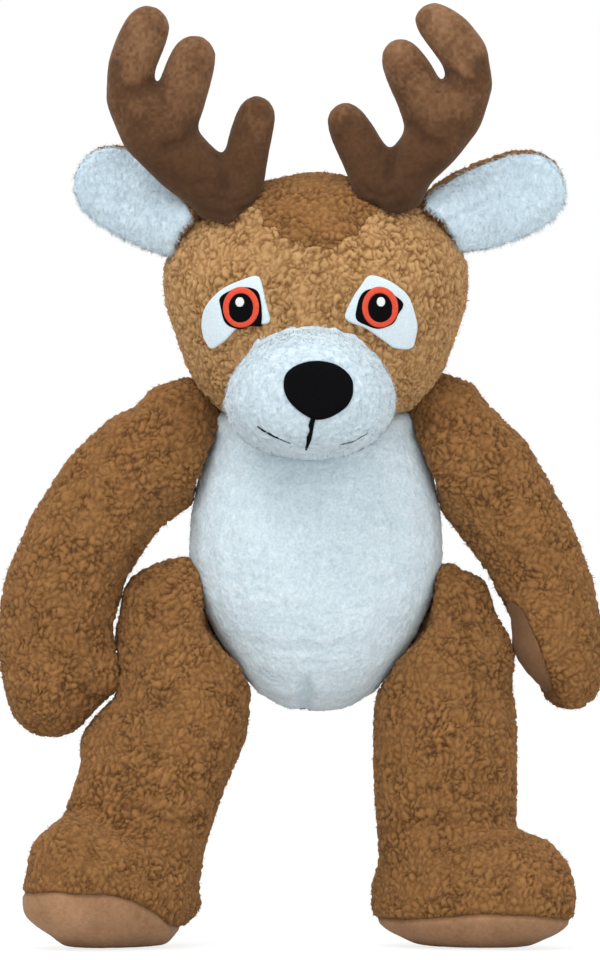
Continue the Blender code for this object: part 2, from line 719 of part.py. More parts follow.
def antler_tube(name, sign, shares, inset, count):
    """One beam or tine in the antler's own plane."""
    root = Vector((sign * ANTLER_ROOT_OUT, -ANTLER_FORWARD, ANTLER_ROOT_UP))
    stations = []
    for out, up, radius in shares:
        point = root + X_AXIS * (sign * ANTLER_SPAN * out) + Z_AXIS * (ANTLER_RISE * up)
        stations.append((point, ANTLER_RADIUS * radius - inset))
    return limb_form(name, stations, ANTLER_FLATTEN, count)


def antler_form(name, side, sign, inset, count):
    beam = antler_tube(name, sign, ANTLER_BEAM_SHARES[side], inset, count)
    middle_tine = antler_tube("middle_tine", sign, ANTLER_MIDDLE_TINE_SHARES[side], inset, count)
    inner_tine = antler_tube("inner_tine", sign, ANTLER_INNER_TINE_SHARES[side], inset, count)
    return join(beam, middle_tine, inner_tine)


def build_antler(side, sign, head, materials):
    inner_count = ANTLER_SIDES // 2
    cover = antler_form("cover", side, sign, 0, ANTLER_SIDES)
    cavity = antler_form("cavity", side, sign, ANTLER_FABRIC, inner_count)
    filling = antler_form("filling", side, sign, ANTLER_FABRIC + FILLING_GAP, inner_count)
    cut(cover, cavity)
    root = Vector((sign * ANTLER_ROOT_OUT, -ANTLER_FORWARD, ANTLER_ROOT_UP))
    poses = [about(root, X_AXIS, angle) for angle in swing_angles(-ANTLER_LIMIT, ANTLER_LIMIT)]
    cut_by_swing([cover, filling], head, poses)
    discard(cavity)
    finish(cover, f"antler_cover_{side}", materials["antler_minky"])
    finish(filling, f"antler_stuffing_{side}", materials["filling"])
    hang_on(f"antler_pivot_{side}", root, [cover, filling])


def arm_form(name, side, sign, inset, count=INNER_SIDES):
    stations = []
    for out, up, radius in ARM_SHARES[side]:
        x = sign * (SHOULDER_OUT + ARM_REACH * out)
        stations.append(((x, 0, SHOULDER_UP + ARM_LENGTH * up), ARM_RADIUS * radius - inset))
    return limb_form(name, stations, ARM_FLATTEN, count)


def keep_in_bell(piece, sign, inset):
    """Trims an arm's inner end to a bell that leaves room for the head as the arm swings."""
    rings = []
    for out, radius in SHOULDER_BELL_SHARES:
        center = Vector((sign * (SHOULDER_OUT + ARM_REACH * out + inset), 0, SHOULDER_UP))
        reach = ARM_RADIUS * radius - inset
        rings.append(ring(center, Y_AXIS, Z_AXIS, reach, reach, ARM_SIDES))
    ends = [sum(points, Vector()) / ARM_SIDES for points in (rings[0], rings[-1])]
    bell = stack_rings("bell", rings, *ends)
    keep(piece, bell)
    discard(bell)


def palm_outline(side, sign):
    """A tapered oval that looks at the palm from inside, and its viewing direction."""
    turn = PALM_TURN[side]
    direction = Vector((-sign * math.cos(turn), -math.sin(turn), 0))
    across = Z_AXIS.cross(direction)
    hand = ARM_SHARES[side][-2]
    center = Vector((sign * (SHOULDER_OUT + ARM_REACH * hand[0]), 0, SHOULDER_UP + ARM_LENGTH * PALM_UP_SHARE))
    center += direction * (PALM_LENGTH / 2 + SEAM_GAP)
    points = [center + across * x + Z_AXIS * z for x, z in oval(PALM_WIDTH, PALM_LENGTH, PALM_SIDES)]
    return points, direction


def build_arm(side, sign, torso, materials):
    arm = arm_form("arm", side, sign, 0, ARM_SIDES)
    cavity = arm_form("cavity", side, sign, FABRIC)
    filling = arm_form("filling", side, sign, FABRIC + FILLING_GAP)
    outline, direction = palm_outline(side, sign)
    half_depth = PALM_LENGTH / 2
    outer = grown(arm, SEAM_GAP + FELT)
    inner = grown(arm, SEAM_GAP)
    bar = prism("bar", outline, direction, half_depth)
    palm = cut(keep(outer, bar), inner)
    keep_in_bell(arm, sign, 0)
    keep_in_bell(cavity, sign, FABRIC)
    keep_in_bell(filling, sign, FABRIC + FILLING_GAP)
    swing = (SHOULDER_CENTER, ARM_BACK_LIMIT, ARM_FORWARD_LIMIT)
    seam_center = Vector((sign * SHOULDER_OUT, 0, SHOULDER_UP))
    cover = hollow_limb(arm, cavity, filling, torso, swing, seam_center)
    discard(inner, bar)
    finish(cover, f"arm_cover_{side}", materials["brown_sherpa"])
    finish(filling, f"arm_stuffing_{side}", materials["filling"])
    finish(palm, f"palm_pad_{side}", materials["tan_minky"])
    pivot = Vector((sign * SHOULDER_OUT, 0, SHOULDER_UP))
    hang_on(f"shoulder_pivot_{side}", pivot, [cover, filling, palm])


def leg_form(name, side, sign, inset, leg_sides=INNER_SIDES, foot_sides=INNER_SIDES):
    """The leg's tube and the foot under it, joined, with walls set in by an inset."""
    foot_middle = Vector((sign * FOOT_OUT[side], -FOOT_FORWARD, FOOT_HEIGHT / 2 - SOLE_FLAT))
    stations = []
    for out, up, radius in LEG_SHARES[side]:
        point = (sign * LEG_OUT * out, FOOT_FORWARD / 2 * up, LEG_TOP + LEG_DROP * up)
        stations.append((point, LEG_RADIUS * radius - inset))
    toe_out = FOOT_TOE_OUT[side]
    toe = Vector((sign * math.sin(toe_out), -math.cos(toe_out), 0))
    foot_sizes = [size - 2 * inset for size in (FOOT_HEIGHT, FOOT_LENGTH, FOOT_WIDTH)]
    whole = limb_form(name, stations, LEG_FLATTEN, leg_sides)
    join(whole, egg_form("foot", foot_middle, *foot_sizes, FOOT_SHARES, FOOT_SHARES, foot_sides, toe))
    reach = FOOT_LENGTH + FOOT_OUT[side]
    under = box("under", Vector((-reach, -reach, -CUT_OVERRUN)), Vector((reach, reach, inset)))
    cut(whole, under)
    discard(under)
    whole.name = name
    return whole


def build_leg(side, sign, torso, materials):
    leg = leg_form("leg", side, sign, 0, LEG_SIDES, FOOT_SIDES)
    cavity = leg_form("cavity", side, sign, FABRIC)
    filling = leg_form("filling", side, sign, FABRIC + FILLING_GAP)
    swing = (HIP_CENTER, LEG_BACK_LIMIT, LEG_FORWARD_LIMIT)
    seam_center = Vector((sign * SHOULDER_OUT, 0, HIP_UP))
    shell = hollow_limb(leg, cavity, filling, torso, swing, seam_center)
    reach = FOOT_LENGTH + FOOT_OUT[side]
    sole_top = SOLE_HEIGHT - SEAM_GAP
    below = box("below", Vector((-reach, -reach, -CUT_OVERRUN)), Vector((reach, reach, SOLE_HEIGHT)))
    sole_zone = box("sole_zone", Vector((-reach, -reach, -CUT_OVERRUN)), Vector((reach, reach, sole_top)))
    sole = keep(copy_of(shell, "sole"), sole_zone)
    cover = cut(shell, below)
    discard(below, sole_zone)
    finish(cover, f"leg_cover_{side}", materials["brown_sherpa"])
    finish(filling, f"leg_stuffing_{side}", materials["filling"])
    finish(sole, f"sole_pad_{side}", materials["tan_minky"])
    hang_on(f"hip_pivot_{side}", Vector((sign * LEG_OUT, 0, HIP_UP)), [cover, filling, sole])


def build_tail(torso, materials):
    root = Vector((0, TAIL_BACK, TAIL_UP))
    along = Vector((0, math.cos(TAIL_RISE), math.sin(TAIL_RISE)))
    across = X_AXIS
    front = along.cross(across)
    rings = []
    steps = len(TAIL_SHARES)
    for i, share in enumerate(TAIL_SHARES):
        center = root + along * (TAIL_LENGTH * i / steps)
        rings.append(ring(center, across, front, TAIL_RADIUS * share, TAIL_RADIUS * share, TAIL_SIDES))
    tail = stack_rings("tail", rings, root - along * TAIL_RADIUS, root + along * TAIL_LENGTH)
    poses = [about(root, X_AXIS, angle) for angle in swing_angles(-TAIL_LIMIT, TAIL_LIMIT)]
    cut_by_swing([tail], torso, poses)
    finish(tail, "tail", materials["brown_sherpa"])
    hang_on("tail_pivot", root, [tail])


def make_materials():
    return {
        "brown_sherpa": make_material("brown_sherpa", (0.33, 0.14, 0.045), 0.95),
        "tan_sherpa": make_material("tan_sherpa", (0.46, 0.24, 0.10), 0.95),
        "white_sherpa": make_material("white_sherpa", (0.82, 0.88, 0.93), 0.95),
        "antler_minky": make_material("antler_minky", (0.16, 0.075, 0.035), 0.85),
        "tan_minky": make_material("tan_minky", (0.36, 0.18, 0.085), 0.8),
        "white_felt": make_material("white_felt", (0.86, 0.90, 0.93), 0.9),
        "coral_thread": make_material("coral_thread", (0.75, 0.10, 0.045), 0.5),
        "black_thread": make_material("black_thread", (0.006, 0.006, 0.008), 0.45),
        "filling": make_material("filling", (0.85, 0.85, 0.83), 1.0),
    }


def put_origin_under_middle():
    """Moves the whole toy so that the origin is on the floor under the middle of its box."""
    bpy.context.view_layer.update()
    corners = [obj.matrix_world @ point.co for obj in bpy.data.objects if obj.data for point in obj.data.vertices]
    middle = Vector()
    for axis in (0, 1):
        along = [corner[axis] for corner in corners]
        middle[axis] = (min(along) + max(along)) / 2
    for obj in bpy.data.objects:
        if obj.parent is None:
            obj.location -= middle


def build_deer():
    clear_scene()
    materials = make_materials()
    torso = torso_form("torso")
    head = head_form("head")
    muzzle = muzzle_form("muzzle")
    build_torso(torso, materials)
    build_collar(materials)
    head_pieces = build_head(torso, head, muzzle, materials)
    head_pieces += build_nose_and_mouth(muzzle, materials)
    for side, sign in SIDES.items():
        head_pieces += build_eye(side, sign, head, materials)
        build_ear(side, sign, head, materials)
        build_antler(side, sign, head, materials)
        build_arm(side, sign, torso, materials)
        build_leg(side, sign, torso, materials)
    build_tail(torso, materials)
    hang_on("head_pivot", NECK_CENTER, head_pieces)
    discard(torso, head, muzzle)
    put_origin_under_middle()


build_deer()
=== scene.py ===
"""The plush deer as photographed: looped sherpa, soft white pile, short brown pile and satin stitching.

Each stuffed form is remeshed from the solids that the frame gives, smoothed, split where its
panels meet, and then given its pile as real relief. Lengths are in metres.
"""

import itertools
import json
import math

import bpy
import numpy as np
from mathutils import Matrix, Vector
from mathutils.bvhtree import BVHTree


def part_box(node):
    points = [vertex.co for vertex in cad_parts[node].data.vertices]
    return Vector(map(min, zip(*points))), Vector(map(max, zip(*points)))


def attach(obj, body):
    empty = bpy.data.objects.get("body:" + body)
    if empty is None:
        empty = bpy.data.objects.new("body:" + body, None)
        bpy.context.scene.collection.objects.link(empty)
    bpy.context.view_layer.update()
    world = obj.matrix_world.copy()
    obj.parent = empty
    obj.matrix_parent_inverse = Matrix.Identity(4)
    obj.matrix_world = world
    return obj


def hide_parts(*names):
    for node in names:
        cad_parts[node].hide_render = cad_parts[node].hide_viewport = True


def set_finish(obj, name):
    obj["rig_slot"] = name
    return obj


MM = 0.001
PIXEL = 0.45 * MM
CORRECTION_LIMIT = 2.5 * MM
RIM_DEPTH = 2.5 * MM
PLATE_TONE = 0.85
# Pile values along each fibre from root to tip: the darker roots are painted shade.
STRAND_PAINTED_SHADE = (0.45, 0.45, 0.65, 0.65, 0.8, 0.8, 0.9)
MIDDLE_COLUMN = 316
FLOOR_ROW = 948
FRAME_SIZE = (600, 960)
SIDES = ("left", "right")

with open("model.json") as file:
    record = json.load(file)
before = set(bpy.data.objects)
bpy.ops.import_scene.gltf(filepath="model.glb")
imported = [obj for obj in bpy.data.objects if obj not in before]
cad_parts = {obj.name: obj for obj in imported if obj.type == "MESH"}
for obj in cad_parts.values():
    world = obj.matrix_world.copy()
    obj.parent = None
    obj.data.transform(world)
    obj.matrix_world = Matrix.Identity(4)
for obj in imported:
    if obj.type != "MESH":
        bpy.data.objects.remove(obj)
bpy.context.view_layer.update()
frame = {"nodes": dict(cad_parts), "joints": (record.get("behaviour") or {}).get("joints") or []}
NECK = Vector(next(j for j in frame["joints"] if j["name"] == "neck_turn")["pos_m"])


# Numbers that look random and are the same on each run

HASH_AXES = (73856093, 19349663, 83492791)
HASH_SEED = 2654435761
HASH_ROUNDS = (2246822519, 3266489917)


def hashed(cell, seed):
    """Three numbers from 0 to 1 for each cell of a grid."""
    x, y, z = (cell[:, i].astype(np.uint64) * np.uint64(factor) for i, factor in enumerate(HASH_AXES))
    mixed = x ^ y ^ z ^ np.uint64(seed * HASH_SEED % 2**32)
    columns = []
    for _ in range(3):
        mixed = (mixed ^ (mixed >> np.uint64(15))) * np.uint64(HASH_ROUNDS[0])
        mixed = (mixed ^ (mixed >> np.uint64(13))) * np.uint64(HASH_ROUNDS[1])
        mixed ^= mixed >> np.uint64(16)
        columns.append((mixed & np.uint64(0xFFFFFF)).astype(float) / 0xFFFFFF)
    return np.stack(columns, 1)


def noise(points, size, seed):
    """Smooth noise from -1 to 1, three values a point."""
    place = points / size
    base = np.floor(place).astype(np.int64)
    share = place - base
    share = share * share * (3 - 2 * share)
    total = np.zeros_like(points)
    for corner in itertools.product((0, 1), repeat=3):
        weight = np.prod(np.where(corner, share, 1 - share), axis=1)
        total += weight[:, None] * hashed(base + np.array(corner), seed)
    return 2 * total - 1


def tufts(points, size, seed):
    """Distance to the nearest and the second nearest tuft's middle in tuft sizes, and a number for each tuft."""
    place = points / size
    base = np.floor(place).astype(np.int64)
    first = np.full(len(points), 9.0)
    second = first.copy()
    own = np.zeros(len(points))
    for offset in itertools.product((-1, 0, 1), repeat=3):
        cell = base + np.array(offset)
        shares = hashed(cell, seed)
        gap = np.linalg.norm(cell + 0.1 + 0.8 * shares - place, axis=1)
        nearer = gap < first
        second = np.where(nearer, first, np.minimum(second, gap))
        own = np.where(nearer, hashed(cell, seed + 7)[:, 0], own)
        first = np.where(nearer, gap, first)
    return first, second, own


def eased(value, low, high):
    share = np.clip((value - low) / (high - low), 0, 1)
    return share * share * (3 - 2 * share)


# Meshes as arrays

def joined_nodes(names):
    points, polys = [], []
    for name in names:
        mesh = frame["nodes"][name].data
        base = len(points)
        points += [tuple(v.co) for v in mesh.vertices]
        polys += [[base + i for i in p.vertices] for p in mesh.polygons]
    return points, polys


def new_object(name, points, polys):
    mesh = bpy.data.meshes.new(name)
    mesh.from_pydata([tuple(p) for p in points], [], [tuple(p) for p in polys])
    obj = bpy.data.objects.new(name, mesh)
    bpy.context.scene.collection.objects.link(obj)
    return obj


def set_field(obj, key, values):
    """Writes one number a point as an attribute."""
    field = obj.data.attributes.new(key, "FLOAT", "POINT")
    field.data.foreach_set("value", np.asarray(values, np.float32).ravel())


def vectors_of(mesh, key):
    """One vector a point of a mesh."""
    values = np.zeros(len(mesh.vertices) * 3)
    mesh.vertices.foreach_get(key, values)
    return values.reshape(-1, 3)


def baked_arrays(obj, *fields):
    """The points, the quads and some attributes of an object with its modifiers, which is then removed."""
    bpy.context.view_layer.update()
    mesh = obj.evaluated_get(bpy.context.evaluated_depsgraph_get()).to_mesh()
    points = vectors_of(mesh, "co")
    quads = np.zeros(len(mesh.loops), int)
    mesh.loops.foreach_get("vertex_index", quads)
    values = []
    for field in fields:
        column = np.zeros(len(mesh.vertices))
        mesh.attributes[field].data.foreach_get("value", column)
        values.append(column)
    old = obj.data
    bpy.data.objects.remove(obj)
    bpy.data.meshes.remove(old)
    return points, quads.reshape(-1, 4), values


def sides_of(quads):
    """The four sides of each quad, as pairs of points."""
    return np.concatenate([quads[:, [i, (i + 1) % 4]] for i in range(4)])


def edges_of(quads):
    return np.unique(np.sort(sides_of(quads), axis=1), axis=0)


def relaxed(values, edges, rounds, share=0.5):
    """Values a point, evened out over the mesh."""
    values = values if values.ndim == 2 else values[:, None]
    size = len(values)
    count = np.bincount(edges.ravel(), minlength=size).clip(1)[:, None]
    ends = np.concatenate([edges, edges[:, ::-1]])
    for _ in range(rounds):
        sums = [np.bincount(ends[:, 0], weights=v[ends[:, 1]], minlength=size) for v in values.T]
        values = values + share * (np.stack(sums, 1) / count - values)
    return values if values.shape[1] > 1 else values[:, 0]


def normals_of(points, quads):
    a, b, c, d = (points[quads[:, i]] for i in range(4))
    face = np.cross(c - a, d - b)
    total = np.zeros_like(points)
    for i in range(4):
        for axis in range(3):
            total[:, axis] += np.bincount(quads[:, i], weights=face[:, axis], minlength=len(points))
    return total / np.linalg.norm(total, axis=1, keepdims=True).clip(1e-12)


def outer_skin(points, quads):
    """Keeps the island with the largest box, so that what is inside a hollow form goes."""
    edges = edges_of(quads)
    label = np.arange(len(points))
    while True:
        low = np.minimum(label[edges[:, 0]], label[edges[:, 1]])
        lower = label.copy()
        np.minimum.at(lower, edges[:, 0], low)
        np.minimum.at(lower, edges[:, 1], low)
        lower = lower[lower]
        if (lower == label).all():
            break
        label = lower
    islands = np.unique(label)
    spans = [np.ptp(points[label == island], axis=0).prod() for island in islands]
    kept = label == islands[int(np.argmax(spans))]
    number = np.cumsum(kept) - 1
    return points[kept], number[quads[kept[quads].all(axis=1)]]


def tree_of(points, polys):
    return BVHTree.FromPolygons([tuple(p) for p in points], [tuple(int(i) for i in p) for p in polys])


def form_of(nodes, voxel, levels=2, rounds=12, shape=None, early=None, after=0):
    """A smooth closed form round some CAD nodes, with its distance to each of them."""
    corners, polys = joined_nodes(nodes)
    if early:
        corners = early(np.array(corners))
    raw = new_object("raw", corners, polys)
    remesh = raw.modifiers.new("remesh", "REMESH")
    remesh.mode = "VOXEL"
    remesh.voxel_size = voxel
    points, quads, _ = baked_arrays(raw)
    points, quads = outer_skin(points, quads)
    edges = edges_of(quads)
    solid = tree_of(corners, polys)
    points = relaxed(points, edges, rounds)
    for _ in range(2):
        off = np.zeros(len(points))
        for i, point in enumerate(points):
            place, normal, _, distance = solid.find_nearest(Vector(point))
            inside = (Vector(point) - place).dot(normal) < 0
            off[i] = distance if inside else -distance
        off = relaxed(np.clip(off, -CORRECTION_LIMIT, CORRECTION_LIMIT), edges, 6)
        points = points + normals_of(points, quads) * off[:, None]
    if after:
        points = relaxed(points, edges, after) + normals_of(points, quads) * 0.5 * MM
    coarse = new_object("coarse", points, quads)
    trees = {node: tree_of(*joined_nodes([node])) for node in nodes if "stuffing" not in node}
    for i, tree in enumerate(trees.values()):
        set_field(coarse, f"far{i}", [tree.find_nearest(Vector(p))[3] for p in points])
    if shape:
        coarse.data.vertices.foreach_set("co", shape(points).astype(np.float32).ravel())
        coarse.data.update()
    smooth = coarse.modifiers.new("smooth", "SUBSURF")
    smooth.levels = smooth.render_levels = levels
    fields = [f"far{i}" for i in range(len(trees))]
    points, quads, values = baked_arrays(coarse, *fields)
    return {
        "points": points, "quads": quads, "edges": edges_of(quads), "normals": normals_of(points, quads),
        "far": np.stack(values, 1), "nodes": list(trees), "tree": tree_of(points, quads),
    }


def pushed(points, middle, reach, shift):
    """Points near a place seen from the front, moved by a shift that fades out."""
    off = np.hypot(points[:, 0] - middle[0], points[:, 2] - middle[1]) / reach
    share = np.clip(1 - off**2, 0, 1) ** 2
    return points + share[:, None] * shift


# Relief of each cloth: how far a point stands out, and how deep in the pile it lies. The colour ramps make deep pile
# darker: painted shade in the hollows between tufts and in folds.

def domes(points, size, seed):
    """Rounded tufts of uneven height."""
    first, second, own = tufts(points, size, seed)
    gap = eased(second - first, -0.02, 0.5)
    return gap * (1 - 0.55 * np.clip(first, 0, 1) ** 2) * (0.65 + 0.35 * own)


def sherpa_relief(points, normals, seed, size=3.3 * MM, height=1.7 * MM):
    """Irregular looped tufts that overlap, with pits between them that are painted dark as shade."""
    bent = points + 1.7 * MM * noise(points, 6.0 * MM, seed) + 0.9 * MM * noise(points, 2.4 * MM, seed + 1)
    large = domes(bent * (1, 1, 0.8), size, seed + 2)
    small = domes(bent[:, ::-1] * (1.0, 0.85, 1.0), 0.72 * size, seed + 4)
    pile = np.maximum(large, 0.88 * small)
    depth = eased(noise(points, 6.5 * MM, seed + 9)[:, 2], -0.5, 0.5)
    pile = 0.8 + (pile - 0.8) * (0.72 + 0.36 * depth)
    strand = noise(bent, 1.2 * MM, seed + 5)[:, 0]
    return height * (pile - 0.62) + 0.15 * MM * strand, np.clip(pile + 0.06 * strand, 0, 1)


def plush_relief(points, normals, seed, height=0.9 * MM):
    """Short white pile, nearly smooth, with faint folds across it."""
    folds = noise(points * (0.35, 0.35, 1.0), 3.2 * MM, seed)[:, 0]
    soft = noise(points, 3.0 * MM, seed + 1)[:, 1]
    strand = noise(points, 1.3 * MM, seed + 5)[:, 0]
    pile = np.clip(0.62 + 0.22 * folds + 0.18 * soft + 0.14 * strand, 0, 1)
    return height * (pile - 0.6) + 0.1 * MM * strand, pile


def fleece_relief(points, normals, seed, height=0.8 * MM):
    """Soft white pile in faint tufts."""
    bent = points + 1.5 * MM * noise(points, 7 * MM, seed)
    first, second, own = tufts(bent, 4.6 * MM, seed + 2)
    soft = eased(second - first, -0.1, 0.75) * (0.7 + 0.3 * own)
    strand = noise(bent, 1.3 * MM, seed + 5)[:, 0]
    pile = np.clip(0.25 + 0.75 * soft + 0.12 * strand, 0, 1)
    return height * (pile - 0.6) + 0.14 * MM * strand, pile


def minky_relief(points, normals, seed, height=0.35 * MM):
    """Short pile, brushed in patches."""
    brushed = noise(points, 9 * MM, seed)[:, 0]
    strand = noise(points, 1.4 * MM, seed + 3)[:, 0]
    pile = np.clip(0.55 + 0.14 * brushed + 0.16 * strand, 0, 1)
    return height * (pile - 0.5), pile


RELIEFS = {"sherpa": sherpa_relief, "plush": plush_relief, "fleece": fleece_relief, "minky": minky_relief}


# Materials

def node_in(tree, kind, **settings):
    node = tree.nodes.new(kind)
    for key, value in settings.items():
        if hasattr(node, key):
            setattr(node, key, value)
        else:
            node.inputs[key].default_value = value
    return node


def ramp_in(tree, source, stops):
    ramp = tree.nodes.new("ShaderNodeValToRGB")
    elements = ramp.color_ramp.elements
    while len(elements) < len(stops):
        elements.new(0.5)
    for element, (place, color) in zip(elements, stops):
        element.position = place
        element.color = (*color, 1)
    tree.links.new(source, ramp.inputs["Fac"])
    return ramp.outputs["Color"]


def mixed(tree, a, b, kind="MULTIPLY", share=1.0):
    mix = tree.nodes.new("ShaderNodeMix")
    mix.data_type = "RGBA"
    mix.blend_type = kind
    mix.inputs["Factor"].default_value = share
    tree.links.new(a, mix.inputs["A"])
    tree.links.new(b, mix.inputs["B"])
    return mix.outputs["Result"]


def cloth_material(name, stops, patch, strand_size, bump, rough, sheen, tint):
    """Cloth whose colour goes from the dark gaps, painted shade, to the tips, with brushed patches and fine strands."""
    material = bpy.data.materials.new(name)
    material.use_nodes = True
    tree = material.node_tree
    shader = tree.nodes["Principled BSDF"]
    shader.inputs["Roughness"].default_value = rough
    shader.inputs["Specular IOR Level"].default_value = 0.1
    shader.inputs["Sheen Weight"].default_value = sheen
    shader.inputs["Sheen Roughness"].default_value = 0.5
    shader.inputs["Sheen Tint"].default_value = (*tint, 1)
    place = tree.nodes.new("ShaderNodeTexCoord").outputs["Object"]
    pile = node_in(tree, "ShaderNodeAttribute", attribute_name="pile").outputs["Fac"]
    color = ramp_in(tree, pile, stops)
    broad = node_in(tree, "ShaderNodeTexNoise", Scale=38.0, Detail=3.0)
    fine = node_in(tree, "ShaderNodeTexNoise", Scale=strand_size, Detail=4.0, Roughness=0.65)
    for texture in (broad, fine):
        tree.links.new(place, texture.inputs["Vector"])
    low, high = patch
    broad_color = ramp_in(tree, broad.outputs["Fac"], [(0.3, (low,) * 3), (0.7, (high,) * 3)])
    fine_color = ramp_in(tree, fine.outputs["Fac"], [(0.25, (0.80, 0.78, 0.76)), (0.75, (1.12, 1.12, 1.12))])
    color = mixed(tree, mixed(tree, color, broad_color), fine_color)
    tree.links.new(color, shader.inputs["Base Color"])
    lift = node_in(tree, "ShaderNodeBump", Strength=bump, Distance=0.4 * MM)
    tree.links.new(fine.outputs["Fac"], lift.inputs["Height"])
    tree.links.new(lift.outputs["Normal"], shader.inputs["Normal"])
    return material


def shade(red, green, blue):
    """A colour as a picture shows it, from 0 to 255, as Blender's linear numbers."""
    return tuple(((v / 255 + 0.055) / 1.055) ** 2.4 if v > 10 else v / 255 / 12.92 for v in (red, green, blue))


# Colours from the deepest pile to the tips; the darker low stops are painted shade in the pits between tufts.
BROWN = [(0.0, shade(92, 60, 32)), (0.3, shade(129, 91, 54)), (0.6, shade(146, 104, 62)), (1.0, shade(160, 117, 71))]
TAN = [(0.0, shade(120, 84, 48)), (0.3, shade(160, 120, 76)), (0.6, shade(184, 144, 97)), (1.0, shade(198, 158, 110))]
WHITE = [(0.0, shade(182, 202, 214)), (0.4, shade(206, 224, 233)), (1.0, shade(222, 237, 245))]
# A brighter, bluer copy of the white pile for the ear linings; its extra brightness is painted light.
EAR_WHITE_LIT = [(0.0, shade(194, 215, 228)), (0.4, shade(216, 235, 246)), (1.0, shade(228, 245, 254))]
ANTLER = [(0.0, shade(50, 31, 19)), (0.4, shade(90, 62, 41)), (0.7, shade(124, 90, 63)), (1.0, shade(148, 112, 83))]
PAD = [(0.0, shade(108, 78, 54)), (0.5, shade(160, 122, 90)), (1.0, shade(180, 142, 110))]

MATERIALS = {
    "brown_sherpa": cloth_material("brown_sherpa", BROWN, (0.88, 1.06), 900.0, 0.4, 0.95, 0.15, (0.8, 0.6, 0.4)),
    "tan_sherpa": cloth_material("tan_sherpa", TAN, (0.92, 1.04), 900.0, 0.4, 0.95, 0.15, (0.9, 0.7, 0.5)),
    "white_sherpa": cloth_material("white_sherpa", WHITE, (0.96, 1.03), 800.0, 0.45, 0.95, 0.25, (1, 1, 1)),
    "ear_white_lit": cloth_material("ear_white_lit", EAR_WHITE_LIT, (0.97, 1.02), 800.0, 0.45, 0.95, 0.25, (1, 1, 1)),
    "antler_minky": cloth_material("antler_minky", ANTLER, (0.96, 1.03), 1500.0, 0.5, 0.85, 0.2, (0.8, 0.6, 0.45)),
    "tan_minky": cloth_material("tan_minky", PAD, (0.90, 1.06), 1500.0, 0.4, 0.85, 0.2, (0.9, 0.7, 0.5)),
    "white_felt": cloth_material("white_felt", WHITE, (0.98, 1.02), 1600.0, 0.3, 0.95, 0.2, (1, 1, 1)),
}


# Panels

def border_relaxed(form, zone):
    """Evens out the steps of the line between two panels."""
    quads, points = form["quads"], form["points"]
    owner = np.tile(zone, 4)
    pairs = np.sort(sides_of(quads), axis=1)
    order = np.lexsort((pairs[:, 1], pairs[:, 0]))
    pairs, owner = pairs[order], owner[order]
    same = (pairs[1:] == pairs[:-1]).all(axis=1) & (owner[1:] != owner[:-1])
    border = pairs[1:][same]
    if not len(border):
        return
    on = np.unique(border)
    number = np.full(len(points), -1)
    number[on] = np.arange(len(on))
    form["points"] = points.copy()
    form["points"][on] = relaxed(points[on], number[border], 6)
    form["normals"] = normals_of(form["points"], quads)


def with_rim(points, quads, normals, depth):
    """The panel with its raw edge turned in."""
    pairs = sides_of(quads)
    code = pairs[:, 0] * len(points) + pairs[:, 1]
    back = pairs[:, 1] * len(points) + pairs[:, 0]
    border = pairs[~np.isin(code, back)]
    if not len(border):
        return points, quads
    on = np.unique(border)
    number = np.full(len(points), -1)
    number[on] = len(points) + np.arange(len(on))
    points = np.concatenate([points, points[on] - normals[on] * depth])
    rim = np.stack([border[:, 1], border[:, 0], number[border[:, 0]], number[border[:, 1]]], axis=1)
    return points, np.concatenate([quads, rim])


def finished_piece(name, points, quads, fields, material):
    obj = new_object(name, points, quads)
    for key, values in fields.items():
        column = np.zeros(len(points), np.float32)
        column[:len(values)] = values
        column[len(values):] = values.min() if len(values) else 0
        set_field(obj, key, column)
    obj.data.shade_smooth()
    obj.data.materials.append(material)
    return obj


def panels(form, styles, body, seed, seam=3.0 * MM, groove=1.3 * MM, press=None, extra=None, dark=0.75):
    """Splits a form into its sewn panels, each with the relief and material of its cloth, and painted shade along the
    seams.
    """
    far = form["far"]
    zone = far[form["quads"]].mean(axis=1).argmin(axis=1)
    border_relaxed(form, zone)
    ordered = np.sort(far, axis=1)
    to_seam = ordered[:, 1] - ordered[:, 0] if far.shape[1] > 1 else np.full(len(far), 1.0)
    near_seam = 1 - eased(to_seam, 0.0, seam)
    pressed, pressed_to = press(form["points"]) if press else (np.zeros(len(far)), 0)
    more, painted_shading = extra(form["points"], form["normals"]) if extra else (0, 1)
    made = {}
    for index, node in enumerate(form["nodes"]):
        name, slot, kind, settings = styles[node]
        rise, pile = RELIEFS[kind](form["points"], form["normals"], seed + 31 * index, **settings)
        rise = rise * (1 - near_seam) - groove * near_seam
        rise = rise * (1 - pressed) + pressed_to * pressed + more
        # Painted shade: the pile is darker along each seam's groove, by dark, and in folds and shaded places, by what
        # extra gives.
        pile = np.clip(pile * (1 - dark * near_seam) * painted_shading, 0, 1)
        points = form["points"] + form["normals"] * rise[:, None]
        own = form["quads"][zone == index]
        used, flat = np.unique(own, return_inverse=True)
        quads = flat.reshape(-1, 4)
        cut_points, cut_quads = with_rim(points[used], quads, form["normals"][used], RIM_DEPTH)
        piece = finished_piece(name, cut_points, cut_quads, {"pile": pile[used]}, MATERIALS[slot])
        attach(piece, body)
        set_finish(piece, slot)
        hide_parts(*[node])
        made[node] = piece
    return made


# Places read from the photograph's pixels

def spot(column, row):
    """A pixel's place across and up, in metres."""
    return NECK.x + (column - MIDDLE_COLUMN) * PIXEL, (FLOOR_ROW - row) * PIXEL


def smooth_loop(corners, steps):
    """A closed curve through corner points."""
    corners = np.array(corners, float)
    found = []
    for i in range(len(corners)):
        a, b, c, d = (corners[(i + k) % len(corners)] for k in (-1, 0, 1, 2))
        for t in np.linspace(0, 1, steps, endpoint=False):
            found.append(0.5 * (2 * b + (c - a) * t + (2 * a - 5 * b + 4 * c - d) * t**2
                                + (3 * b - a - 3 * c + d) * t**3))
    return np.array(found)


